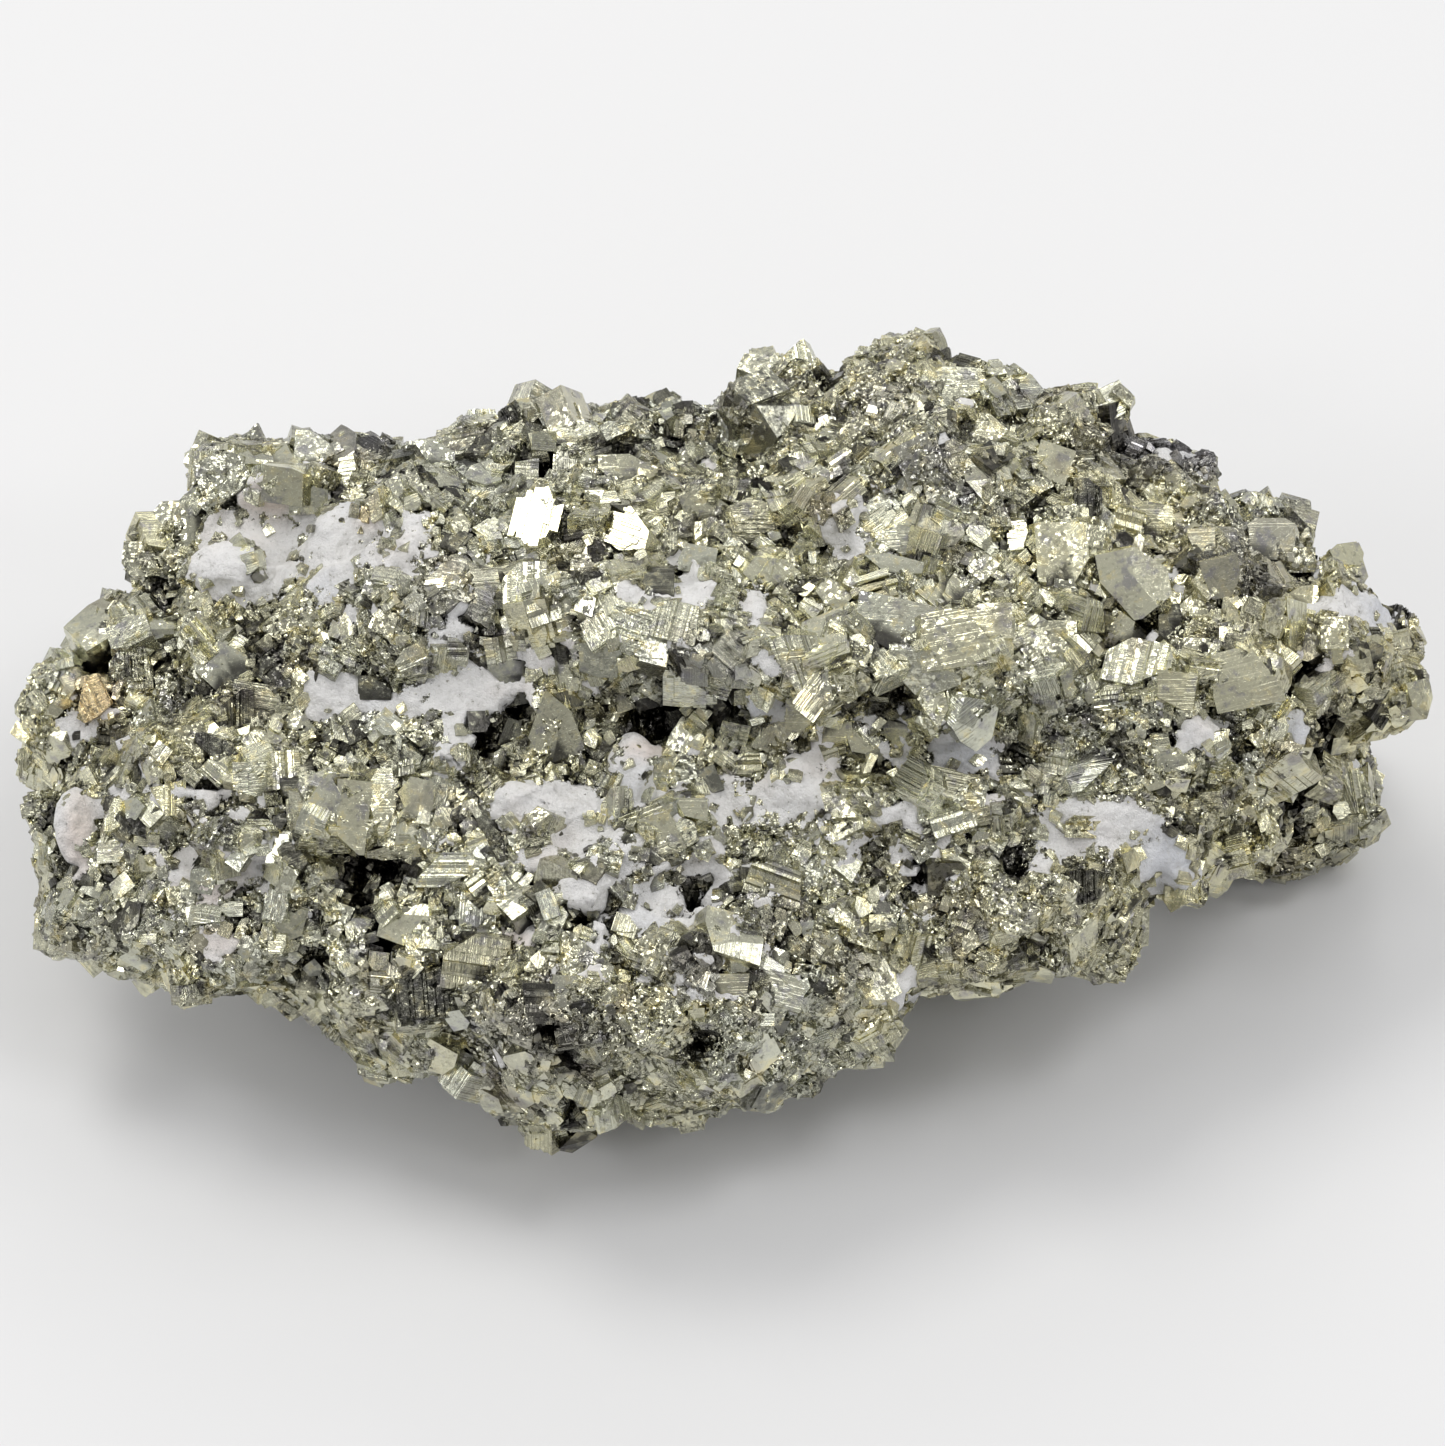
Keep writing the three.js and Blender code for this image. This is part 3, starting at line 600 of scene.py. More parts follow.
def meshOf(name, points, faces, material=None):
    mesh = bpy.data.meshes.new(name)
    mesh.from_pydata([tuple(p) for p in points], [], [tuple(f) for f in faces])
    if material:
        mesh.materials.append(material)
    mesh.update()
    return mesh


def valuesOf(items, field, width=3, kind=float):
    values = np.empty(len(items) * width, dtype=kind)
    items.foreach_get(field, values)
    return values.reshape(-1, width)


def pointsOf(mesh):
    return valuesOf(mesh.vertices, "co")


def normalsOf(mesh):
    return valuesOf(mesh.vertex_normals, "vector", 3, np.float32).astype(float)


def setPoints(mesh, points):
    mesh.vertices.foreach_set("co", points.ravel())
    mesh.update()


def setAttribute(mesh, name, kind, values, field="value"):
    made = mesh.attributes.new(name, kind, "POINT")
    made.data.foreach_set(field, np.asarray(values).ravel())


def setVectors(mesh, name, *columns):
    # three numbers for each point
    setAttribute(mesh, name, "FLOAT_VECTOR", np.column_stack(columns), "vector")


def added(name, data):
    thing = bpy.data.objects.new(name, data)
    bpy.context.scene.collection.objects.link(thing)
    return thing


def evaluated(holder):
    # the mesh that an object's modifier makes, in place of the object
    depsgraph = bpy.context.evaluated_depsgraph_get()
    made = bpy.data.meshes.new_from_object(holder.evaluated_get(depsgraph))
    bpy.data.objects.remove(holder)
    return made


def smoothed(points, edges, rounds, share=0.6):
    # each point moves a share of the way to the middle of its neighbours
    count = len(points)
    near = np.bincount(edges.ravel(), minlength=count)[:, None]
    first, second = edges[:, 0], edges[:, 1]
    for _ in range(rounds):
        total = np.stack([
            np.bincount(first, points[second, k], count) + np.bincount(second, points[first, k], count)
            for k in range(3)], axis=1)
        points = points + share * (total / near - points)
    return points


def mergedCopy(node):
    shape = bmesh.new()
    shape.from_mesh(node.data)
    shape.transform(node.matrix_world)
    bmesh.ops.remove_doubles(shape, verts=shape.verts, dist=1e-6)
    return shape


def joinInto(shape, other):
    # puts another shape's faces beside a shape's own
    loose = bpy.data.meshes.new("loose")
    other.to_mesh(loose)
    other.free()
    shape.from_mesh(loose)
    bpy.data.meshes.remove(loose)


def remeshed(name, shape, voxel):
    mesh = bpy.data.meshes.new(name)
    shape.to_mesh(mesh)
    shape.free()
    holder = added(name, mesh)
    remesh = holder.modifiers.new("voxels", "REMESH")
    remesh.mode = "VOXEL"
    remesh.voxel_size = voxel
    made = evaluated(holder)
    bpy.data.meshes.remove(mesh)
    return made


def clayNodes():
    return [name for name in frame["nodes"] if name.startswith("clay_")]


def joinedSolids():
    # the solids of the pyrite and the clay in one skin
    whole = mergedCopy(frame["nodes"]["pyrite_mass"])
    for name in clayNodes():
        plug = mergedCopy(frame["nodes"][name])
        centre = sum((v.co for v in plug.verts), Vector()) / len(plug.verts)
        for v in plug.verts:
            v.co = centre + (v.co - centre) * ground["plugGrowth"]
        joinInto(whole, plug)
    return remeshed("ground", whole, ground["voxel"])


def calmSurface(mesh):
    # the joined solids with their corners off, which everything else is set against
    edges = valuesOf(mesh.edges, "vertices", 2, np.int32)
    points = smoothed(pointsOf(mesh), edges, ground["rounding"])
    setPoints(mesh, points)
    points += normalsOf(mesh) * mosaicAt(points, *ground["ledges"], 5.0)[:, None]
    points = smoothed(points, edges, 2)
    setPoints(mesh, smoothed(points, edges, ground["calming"]))
    normals = normalsOf(mesh)
    setPoints(mesh, points)
    mesh.calc_loop_triangles()
    corners = valuesOf(mesh.loop_triangles, "vertices", 3, np.int32)
    return {"points": points, "normals": normals, "corners": corners}


def warmthNoise(points):
    return 0.5 * noiseAt(points, 14 * mm, 91.0)


def clayRelief(points):
    # the clay's lumps
    return sum(size * noiseAt(points, wave, 7.0 + k) for k, (wave, size) in enumerate(ground["clayLumps"]))


def clayTints(fields):
    # how rosy and how bluish the clay is
    return np.clip(np.stack([fields["rose"] + np.maximum(fields["rust"], 0), fields["blue"]], axis=1), 0, 1)


def carveGround(mesh, calm):
    points, normals = calm["points"], calm["normals"]
    fields = fieldsAt(points, normals)
    clayShare = smoothStep(*ground["clayFrom"], fields["clayGap"])
    fine = smoothStep(*ground["fineFrom"], fields["coarse"])
    lift = -ground["sink"] + fine * ground["fineRise"] - pits["depth"] * fields["pit"]
    for number, (wave, steep, step) in enumerate(ground["mosaics"]):
        lift += mosaicAt(points, wave, steep, step, 11.0 * number)
    hackle = np.random.default_rng(8).normal(size=len(points)) * ground["hackle"]
    lift = (lift + hackle) * (1 - clayShare) + clayShare * (ground["clayLevel"] + clayRelief(points))
    points = points + normals * lift[:, None]
    points[:, 2] = np.maximum(points[:, 2], 0)
    setPoints(mesh, points)
    spread = noiseAt(points, 5 * mm, 90.0)
    # painted shade: the ground darkens where it lies low, in the dark and shaded areas, and in the pits
    low = smoothStep(*ground["lowFrom"], -lift)
    tone = ground["tone"] + ground["fineTone"] * fine + ground["mottle"] * spread
    tone = tone * (1 - ground["paintedLowShade"] * low) * (1 - ground["darkShade"] * fields["dark"])
    tone = np.clip(tone * (1 - ground["paintedPitShade"] * fields["pit"]), 0.02, 1)
    warmth = np.clip(ground["warmth"] + warmthNoise(points), 0, 1)
    setVectors(mesh, "look", tone, warmth, np.full(len(points), ground["roughness"]))
    grit = 0.25 + 0.75 * smoothStep(-0.35, 0.25, noiseAt(points, 3 * mm, 92.0) + 0.5 * fine)
    setVectors(mesh, "finish", grit, np.zeros(len(points)), fields["rust"])
    cover = np.clip(0.5 - fields["clayGap"] / ground["coverFade"], 0, 1)
    setVectors(mesh, "cover", cover, clayTints(fields))
    smooth = np.array([cover[p.vertices[0]] > 0.5 for p in mesh.polygons])
    mesh.polygons.foreach_set("use_smooth", smooth)


def shown(name, mesh):
    # a finished piece that moves with the specimen
    piece = added(name, mesh)
    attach(piece, "root")
    return piece


groundShape = joinedSolids()
calm = calmSurface(groundShape)
calmTree = BVHTree.FromPolygons(calm["points"].tolist(), calm["corners"].tolist())
carveGround(groundShape, calm)
print("ground made:", len(calm["corners"]), "triangles")

# Crystal shapes, each about one unit across, with the side that shows facing up


def box(centre, half):
    shape = bmesh.new()
    for v in bmesh.ops.create_cube(shape, size=2.0)["verts"]:
        v.co = Vector(centre) + Vector((v.co.x * half[0], v.co.y * half[1], v.co.z * half[2]))
    return shape


def sliced(shape, facing, reach, centre=(0, 0, 0)):
    # cuts off what lies beyond a plane
    facing = Vector(facing).normalized()
    cut = bmesh.ops.bisect_plane(
        shape, geom=shape.verts[:] + shape.edges[:] + shape.faces[:], dist=1e-6,
        plane_co=Vector(centre) + facing * reach, plane_no=facing, clear_outer=True)
    rim = [e for e in cut["geom_cut"] if isinstance(e, bmesh.types.BMEdge)]
    if len(rim) > 2:
        bmesh.ops.edgeloop_fill(shape, edges=rim)


def trimmed(shape, random, sides, reach=0.43, flare=0.3, centre=(0, 0, 0)):
    # uneven, slanted sides
    start = random.random() * 2 * math.pi
    for i in range(sides):
        angle = start + (i + random.uniform(-0.32, 0.32)) * 2 * math.pi / sides
        facing = (math.cos(angle), math.sin(angle), random.uniform(-0.05, flare))
        sliced(shape, facing, reach * random.uniform(0.78, 1.16), centre)


def toppedOff(shape, random, count, least=0.12, most=0.5):
    # facets that lean a little from the top one
    for _ in range(count):
        angle = random.random() * 2 * math.pi
        lean = random.uniform(least, most)
        sliced(shape, (math.cos(angle) * lean, math.sin(angle) * lean, 1), random.uniform(0.40, 0.49))


def facetedBlock(random):
    # squarish, with an uneven side or two
    shape = box((0, 0, 0), (0.5, 0.5 * random.uniform(0.62, 1.0), 0.5))
    trimmed(shape, random, 2, 0.46)
    toppedOff(shape, random, 2, 0.08, 0.45)
    return shape


def plainBlock(random):
    # nearly a cube, with a corner or two gone
    shape = box((0, 0, 0), [0.5 * random.uniform(0.82, 1.0) for _ in range(3)])
    for _ in range(2):
        across = [random.choice([-1, 1]) * random.uniform(0.2, 1) for _ in range(2)]
        sliced(shape, (*across, random.uniform(0.2, 0.9)), random.uniform(0.46, 0.60))
    return shape


def broadBlock(random):
    # a wide crystal with many large facets at low angles
    shape = box((0, 0, 0), (0.5, 0.5, 0.5))
    trimmed(shape, random, 4, 0.48)
    toppedOff(shape, random, 4, 0.05, 0.26)
    return shape


def steppedBlock(random):
    # low terraces on a block
    shape = box((0, 0, -0.03), (0.5, 0.5 * random.uniform(0.75, 1.0), 0.47))
    trimmed(shape, random, 2, 0.48)
    level = 0.44
    for _ in range(3):
        size = random.uniform(0.20, 0.36)
        centre = (random.uniform(-0.2, 0.2), random.uniform(-0.2, 0.2), level - 0.04)
        terrace = box(centre, (size, size, 0.04 + random.uniform(0.02, 0.05)))
        trimmed(terrace, random, 2, size * 0.92, 0.5, centre)
        joinInto(shape, terrace)
        level += random.uniform(0.0, 0.03)
    return shape


def terracedBlock(random):
    # upright plates side by side, each a little higher or lower than the next
    shape = box((0, 0, -0.05), (0.5, 0.5, 0.45))
    trimmed(shape, random, 2, 0.5)
    for _ in range(9):
        half = (random.uniform(0.05, 0.16), random.uniform(0.14, 0.36), 0.06)
        place = (random.uniform(-0.36, 0.36), random.uniform(-0.16, 0.16), random.uniform(0.38, 0.44))
        plate = box(place, half)
        trimmed(plate, random, 1, half[1] * 0.9, 0.3, place)
        joinInto(shape, plate)
    return shape


def ribbedBlock(random, ribs=9, depth=0.03, sides=2):
    # parallel growth lines run across the top
    shape = bmesh.new()
    edge = np.cumsum(random.uniform(0.25, 1.6, ribs))
    edge = np.concatenate([[0], edge]) / edge[-1] - 0.5
    profile = [(-0.5, -0.5)]
    level = 0.45
    for i in range(ribs):
        level = min(0.49, max(0.38, level + random.uniform(-1, 1) * depth))
        slope = random.uniform(-0.35, 0.35) * (edge[i + 1] - edge[i])
        profile += [(edge[i] + (0.008 if i else 0), level - slope), (edge[i + 1] - 0.008, level + slope)]
        if i < ribs - 1 and random.random() < 0.5:
            profile.append((edge[i + 1], level - depth * random.uniform(0.4, 1.6)))
    profile += [(0.5, profile[-1][1]), (0.5, -0.5)]
    ends = [[shape.verts.new((x, y, z)) for x, z in profile] for y in (-0.5, 0.5)]
    shape.faces.new(ends[0])
    shape.faces.new(ends[1][::-1])
    count = len(profile)
    for i in range(count):
        shape.faces.new((ends[0][i], ends[1][i], ends[1][(i + 1) % count], ends[0][(i + 1) % count]))
    trimmed(shape, random, sides, 0.47, 0.2)
    return shape


def hacklyBlock(random, cells=4, relief=0.075):
    # a rough top of small facets, as where a crystal broke off
    shape = bmesh.new()
    steps = np.linspace(-0.5, 0.5, cells + 1)

    def corner(x, y):
        aside = random.uniform(-0.07, 0.07, 2)
        return shape.verts.new((x + aside[0], y + aside[1], 0.42 + random.uniform(-relief, relief)))

    top = [[corner(x, y) for y in steps] for x in steps]
    for i in range(cells):
        for j in range(cells):
            a, b, c, d = top[i][j], top[i + 1][j], top[i + 1][j + 1], top[i][j + 1]
            for face in ([(a, b, c), (a, c, d)] if random.random() < 0.5 else [(a, b, d), (b, c, d)]):
                shape.faces.new(face)
    rim = [top[i][0] for i in range(cells)] + [top[cells][j] for j in range(cells)]
    rim += [top[i][cells] for i in range(cells, 0, -1)] + [top[0][j] for j in range(cells, 0, -1)]
    low = [shape.verts.new((v.co.x, v.co.y, -0.5)) for v in rim]
    for k in range(len(rim)):
        after = (k + 1) % len(rim)
        shape.faces.new((rim[after], rim[k], low[k], low[after]))
    shape.faces.new(low)
    trimmed(shape, random, 4)
    return shape


def mirrorBlock(random):
    # a flat bright top crossed by low steps that all face one way
    shape = box((0, 0, -0.03), (0.5, 0.5, 0.47))
    trimmed(shape, random, 7, 0.46)
    for i in range(6):
        place = (random.uniform(-0.22, 0.22), -0.32 + i * 0.13, 0.42)
        half = (random.uniform(0.18, 0.42), random.uniform(0.03, 0.075), random.uniform(0.04, 0.065))
        bar = box(place, half)
        trimmed(bar, random, 4, half[0] * 0.9, 0.4, place)
        joinInto(shape, bar)
    return shape


def platedBlock(random):
    # a few thick leaves side by side
    shape = ribbedBlock(random, 4, 0.09, 4)
    lean = random.uniform(0.15, 0.5)
    for v in shape.verts:
        v.co.x += (v.co.z - 0.3) * lean
    return shape


def knob(random):
    # a crumpled ball of tiny facets
    shape = bmesh.new()
    bmesh.ops.create_icosphere(shape, subdivisions=3, radius=0.5)
    for v in shape.verts:
        v.co *= 1 + random.uniform(-0.17, 0.13)
        v.co.z *= 0.9
    return shape


def crumbs(random):
    # small crystals grown together at all angles
    shape = bmesh.new()
    for i in range(5):
        size = 0.36 if i == 0 else random.uniform(0.16, 0.28)
        place = (0, 0, 0) if i == 0 else random.uniform(-0.3, 0.3, 3)
        crumb = box((0, 0, 0), size * random.uniform(0.8, 1.2, 3))
        turn = Matrix.Rotation(random.random() * 3, 4, Vector(random.normal(size=3)).normalized())
        crumb.transform(Matrix.Translation(place) @ turn)
        joinInto(shape, crumb)
    return shape


def hull(points):
    shape = bmesh.new()
    for p in points:
        shape.verts.new(p)
    bmesh.ops.convex_hull(shape, input=shape.verts)
    loose = [v for v in shape.verts if not v.link_faces]
    bmesh.ops.delete(shape, geom=loose, context="VERTS")
    bmesh.ops.dissolve_limit(shape, angle_limit=0.02, verts=shape.verts, edges=shape.edges)
    return shape


def pyritohedron(random):
    corner, reach, roof = 0.36, 0.54, 0.27
    points = [(a * corner, b * corner, c * corner) for a in (-1, 1) for b in (-1, 1) for c in (-1, 1)]
    for a in (-1, 1):
        for b in (-1, 1):
            points += [(0, a * reach, b * roof), (a * reach, b * roof, 0), (a * roof, 0, b * reach)]
    shape = hull(points)
    toppedOff(shape, random, 1)
    return shape


def shard(random):
    # a splinter without any even side
    points = unit(random.normal(size=(10, 3))) * [0.54, 0.50, 0.46]
    return hull((points * random.uniform(0.82, 1.08, (10, 1))).tolist())


def crystalMesh(name, shape, random):
    # makes an object of a crystal's shape, its faces turned outward, and gives each face the direction of its
    # striae
    bmesh.ops.recalc_face_normals(shape, faces=shape.faces)
    layer = shape.loops.layers.uv.new("UVMap")
    for face in shape.faces:
        normal = [abs(n) for n in face.normal]
        main = normal.index(max(normal))
        broken = max(normal) < 0.84
        number = random.random() + (2 if broken else 0)
        for loop in face.loops:
            co = loop.vert.co
            loop[layer].uv = ((co.z, co.x, co.y)[main], number)
    mesh = bpy.data.meshes.new(name)
    shape.to_mesh(mesh)
    shape.free()
    mesh.materials.append(pyrite)
    return bpy.data.objects.new(name, mesh)


forms = {  # what makes each form, and its settings
    "faceted": (facetedBlock,), "plain": (plainBlock,), "broad": (broadBlock,), "stepped": (steppedBlock,),
    "terraced": (terracedBlock,), "mirror": (mirrorBlock,), "plated": (platedBlock,), "crumbs": (crumbs,),
    "ribs": (ribbedBlock, 16, 0.022, 3), "largeRibs": (ribbedBlock,), "smallRibs": (ribbedBlock, 5, 0.04, 1),
    "hackle": (hacklyBlock, 8, 0.055), "largeHackle": (hacklyBlock,), "knob": (knob,), "shard": (shard,),
    "pyritohedron": (pyritohedron,),
}
crumblyForms = ("knob", "crumbs", "shard", "largeHackle", "hackle")
linedForms = ("largeRibs", "ribs", "smallRibs", "plated", "mirror")
cleanForms = ("broad", "stepped", "terraced", "plain", "pyritohedron")


def crystalSet(name, seed, **counts):
    # a collection of crystal shapes, so many of each form, and where those of each form are in it
    random = np.random.default_rng(seed)
    collection = bpy.data.collections.new(name)
    shapes = {}
    number = 0
    for form, count in counts.items():
        make, *settings = forms[form]
        shapes[form] = np.arange(number, number + count)
        for _ in range(count):
            collection.objects.link(crystalMesh(f"{name}{number:03d}", make(random, *settings), random))
            number += 1
    return {"collection": collection, "shapes": shapes}


def scatterTree():
    # stands crystals on points that carry their turn, size and kind
    tree = bpy.data.node_groups.new("crystalsOnPoints", "GeometryNodeTree")
    for name, kind in (("Geometry", "Geometry"), ("Crystals", "Collection"), ("Growth", "Float"),
                       ("Material", "Material")):
        tree.interface.new_socket(name=name, in_out="INPUT", socket_type="NodeSocket" + kind)
    tree.interface.new_socket(name="Geometry", in_out="OUTPUT", socket_type="NodeSocketGeometry")
    maker = Maker(tree)
    given = maker.node("NodeGroupInput")
    shapes = maker.node("GeometryNodeCollectionInfo", None, {
        "Collection": given.outputs["Crystals"], "Separate Children": True, "Reset Children": True})

    def carried(name, kind):
        return maker.node("GeometryNodeInputNamedAttribute", {"data_type": kind}, {"Name": name}).outputs[0]

    size = maker.node("ShaderNodeVectorMath", {"operation": "SCALE"}, {
        0: carried("size", "FLOAT_VECTOR"), "Scale": given.outputs["Growth"]})
    stood = maker.node("GeometryNodeInstanceOnPoints", None, {
        "Points": given.outputs["Geometry"], "Instance": shapes.outputs[0], "Pick Instance": True,
        "Instance Index": carried("kind", "INT"), "Rotation": carried("turn", "QUATERNION"),
        "Scale": size.outputs[0]})
    real = maker.node("GeometryNodeRealizeInstances", None, {"Geometry": stood.outputs[0]})
    painted = maker.node("GeometryNodeSetMaterial", None, {
        "Geometry": real.outputs[0], "Material": given.outputs["Material"]})
    maker.node("NodeGroupOutput", None, {0: painted.outputs[0]})
    return tree


crystalTree = scatterTree()
sockets = {item.name: item.identifier for item in crystalTree.interface.items_tree if item.in_out == "INPUT"}


def grown(name, shapeSet, crystals):
    # one piece with a crystal at each place
    mesh = meshOf(name, crystals["point"], [])
    setAttribute(mesh, "turn", "QUATERNION", crystals["turn"])
    setAttribute(mesh, "kind", "INT", crystals["kind"].astype(np.int32))
    for field in ("size", "look", "finish"):
        setVectors(mesh, field, crystals[field])
    holder = added(name, mesh)
    modifier = holder.modifiers.new("crystals", "NODES")
    modifier.node_group = crystalTree
    modifier[sockets["Crystals"]] = shapeSet["collection"]
    modifier[sockets["Growth"]] = crystalLook["growth"]
    modifier[sockets["Material"]] = pyrite
    made = evaluated(holder)
    points = pointsOf(made)
    points[:, 2] = np.maximum(points[:, 2], 0)
    setPoints(made, points)
    setAttribute(made, "rise", "FLOAT", risesOf(points))
    shown(name, made)
    triangles = sum(len(p.vertices) - 2 for p in made.polygons)
    print(name, "made:", len(crystals["point"]), "crystals,", triangles, "triangles")


# Where the crystals stand


def axesFrom(facing, twist):
    # turn matrices whose z is facing, twisted about it
    level = np.where(np.abs(facing[:, :1]) < 0.9, [[1.0, 0, 0]], [[0, 1.0, 0]])
    side = unit(level - facing * np.sum(level * facing, axis=1, keepdims=True))
    other = np.cross(facing, side)
    cos, sin = np.cos(twist)[:, None], np.sin(twist)[:, None]
    return np.stack([side * cos + other * sin, other * cos - side * sin, facing], axis=2)


def quaternions(matrices):
    return np.array([list(Matrix(m).to_quaternion()) for m in matrices])


def surfaceSamples(count, random):
    # places spread evenly over the calm surface, with the way that it faces there
    points, normals, corners = calm["points"], calm["normals"], calm["corners"]
    a, b, c = (points[corners[:, k]] for k in range(3))
    area = np.linalg.norm(np.cross(b - a, c - a), axis=1)
    chosen = random.choice(len(corners), count, p=area / area.sum())
    u, v = random.random((2, count, 1))
    flip = (u + v) > 1
    u, v = np.where(flip, 1 - u, u), np.where(flip, 1 - v, v)
    w = 1 - u - v
    na, nb, nc = (normals[corners[chosen, k]] for k in range(3))
    return a[chosen] * w + b[chosen] * u + c[chosen] * v, unit(na * w + nb * u + nc * v)


class Room:
    # remembers where crystals stand, so that the next ones keep clear of them
    def __init__(self, cell):
        self.cell = cell
        self.boxes = {}

    def key(self, point):
        return tuple(int(math.floor(v / self.cell)) for v in point)

    def crowded(self, point, reach):
        i, j, k = self.key(point)
        for x in (i - 1, i, i + 1):
            for y in (j - 1, j, j + 1):
                for z in (k - 1, k, k + 1):
                    for other, otherReach in self.boxes.get((x, y, z), ()):
                        away = reach + otherReach
                        if sum((other[n] - point[n]) ** 2 for n in range(3)) < away * away:
                            return True
        return False

    def take(self, point, reach):
        self.boxes.setdefault(self.key(point), []).append((tuple(point), reach))


# The crystals' places, forms and looks are all drawn from this one, so the order of the calls matters.
random = np.random.default_rng(11)
taken = {"show": Room(9 * mm), "large": Room(5 * mm), "medium": Room(2.5 * mm), "grain": Room(1.3 * mm)}
clusters = {  # places whose neighbours share a direction
    "count": 420,
    "lean": 0.17,
    "stray": 0.05,  # how far a neighbour's lean and twist stray from it
    "twistStray": 0.08,
}
clusterPlaces, _ = surfaceSamples(clusters["count"], random)
clusterTurns = random.random(clusters["count"]) * math.pi
clusterLean = random.normal(size=(clusters["count"], 3)) * clusters["lean"]


def settled(points, normals, layer, random):
    # facing and twist of crystals: neighbours share a direction, more or less
    nearest = np.array([np.argmin(((clusterPlaces - p) ** 2).sum(axis=1)) for p in points])
    together = random.random(len(points)) < layer["together"]
    stray = random.normal(size=points.shape) * clusters["stray"]
    lean = np.where(together[:, None], clusterLean[nearest] + stray,
                    random.normal(size=points.shape) * layer["leaning"])
    stray = random.normal(size=len(points)) * clusters["twistStray"]
    twist = np.where(together, clusterTurns[nearest] + stray, random.random(len(points)) * math.pi)
    return unit(normals + lean), twist


def lookOf(points, fields, random):
    # brightness, warmth and roughness of each crystal
    count = len(points)
    # painted dark reflections: a share of the crystals is painted near-black, as facets that mirror dark
    # surroundings
    paintedDark = random.random(count) < crystalLook["paintedDarkShare"]
    tone = random.uniform(*crystalLook["paintedDark"], count), random.uniform(*crystalLook["bright"], count)
    tone = np.where(paintedDark, *tone)
    # painted shade and dark tone: crystals in the dark and shaded areas are darker
    tone *= 1 - crystalLook["darkShade"] * fields["dark"] * random.uniform(0.5, 1, count)
    warmth = crystalLook["warmth"] + warmthNoise(points) + 0.3 * smoothStep(0, 50 * mm, points[:, 0])
    warmth = np.clip(warmth + random.normal(size=count) * crystalLook["warmthSpread"], 0, 1)
    return np.stack([tone, warmth, random.random(count)], axis=1)


def finishOf(kinds, fields, random):
    # how granular, how striated and how rusty each crystal is
    count = len(kinds)
    crumbly = np.isin(kinds, crumblyForms)
    grit = random.uniform(*crystalLook["crumblyGrit"], count)
    other = np.where(random.random(count) < 0.5, random.uniform(*crystalLook["otherGrit"], count),
                     crystalLook["leastGrit"])
    grit = np.where(crumbly, grit, other)
    grit = np.where(np.isin(kinds, cleanForms), grit * crystalLook["cleanGrit"], grit)
    full, some, least = crystalLook["lined"]
    lined = np.where(np.isin(kinds, linedForms), full, np.where(random.random(count) < 0.25, some, least))
    smooth = random.uniform(*crystalLook["smoothLined"], count)
    lined = np.where(np.isin(kinds, ("broad", "terraced")), smooth, lined)
    return np.stack([grit, lined, fields["rust"]], axis=1)


def shapesOf(shapeSet, kinds, random):
    # one of the shapes of each crystal's form
    return np.array([random.choice(shapeSet["shapes"][form]) for form in kinds])


def chosenForms(shapeSet, shares, coarse, random):
    # a form for each crystal: clean blocks where it is coarse, crumbs where it is fine
    names = list(shares)
    weights = np.array([[shares[n]] for n in names]) * np.ones(len(coarse))
    for row, name in enumerate(names):
        if name in crumblyForms:
            weights[row] *= np.clip(1 - 1.4 * coarse, 0.15, 3)
    steps = np.cumsum(weights, axis=0) / weights.sum(axis=0)
    pick = (random.random(len(coarse)) > steps).sum(axis=0)
    kinds = np.array(names)[pick]
    return kinds, shapesOf(shapeSet, kinds, random)


def strewn(name, layer, shapeSet, random):
    # crystals of one size range, with room round each
    points, normals = surfaceSamples(layer["tries"], random)
    fields = fieldsAt(points, normals)
    chance = np.clip(layer["chance"] + layer["coarseGain"] * fields["coarse"], 0, 1)
    size = layer["least"] + (layer["most"] - layer["least"]) * random.random(len(points)) ** layer["skew"]
    onClay = fields["clayGap"] < size * 0.40 - layer["overClay"]
    groups = smoothStep(0.0, 0.16, noiseAt(points, 3.0 * mm, 57.0)) * (fields["open"] < clayArea["openFrom"])
    chance = np.where(onClay, layer["onClay"] + groups * chance, chance)
    chance *= fields["pit"] < np.where(size > pits["largeFrom"], *pits["bareFrom"])
    rim = smoothStep(0.55, 0.15, np.abs(normals @ outAxis))
    chance *= 1 - rim * layer["rimless"]
    keep = (random.random(len(points)) < chance) & (points[:, 2] > size * 0.25)
    kept = []
    for i in np.flatnonzero(keep):
        reach = size[i] * layer["reach"]
        if not any(near.crowded(points[i], reach) for near in taken.values()):
            taken[name].take(points[i], reach)
            kept.append(i)
    points, normals, size, onClay = points[kept], normals[kept], size[kept], onClay[kept]
    fields = {key: values[kept] for key, values in fields.items()}
    facing, twist = settled(points, normals, layer, random)
    kinds, shapes = chosenForms(shapeSet, layer["forms"], fields["coarse"], random)
    count = len(kept)
    wide = random.uniform(0.8, 1.35, (count, 2))
    scale = size[:, None] * np.column_stack([wide, random.uniform(0.7, 1.0, count)])
    low, high = layer["top"]
    top = low + (high - low) * random.random(count)
    top += clayArea["crystalLift"] * onClay - pits["depth"] * fields["pit"]
    return {
        "point": points + normals * top[:, None] - facing * (0.5 * scale[:, 2:]),
        "turn": quaternions(axesFrom(facing, twist)),
        "size": scale,
        "kind": shapes,
        "look": lookOf(points, fields, random),
        "finish": finishOf(kinds, fields, random),
    }


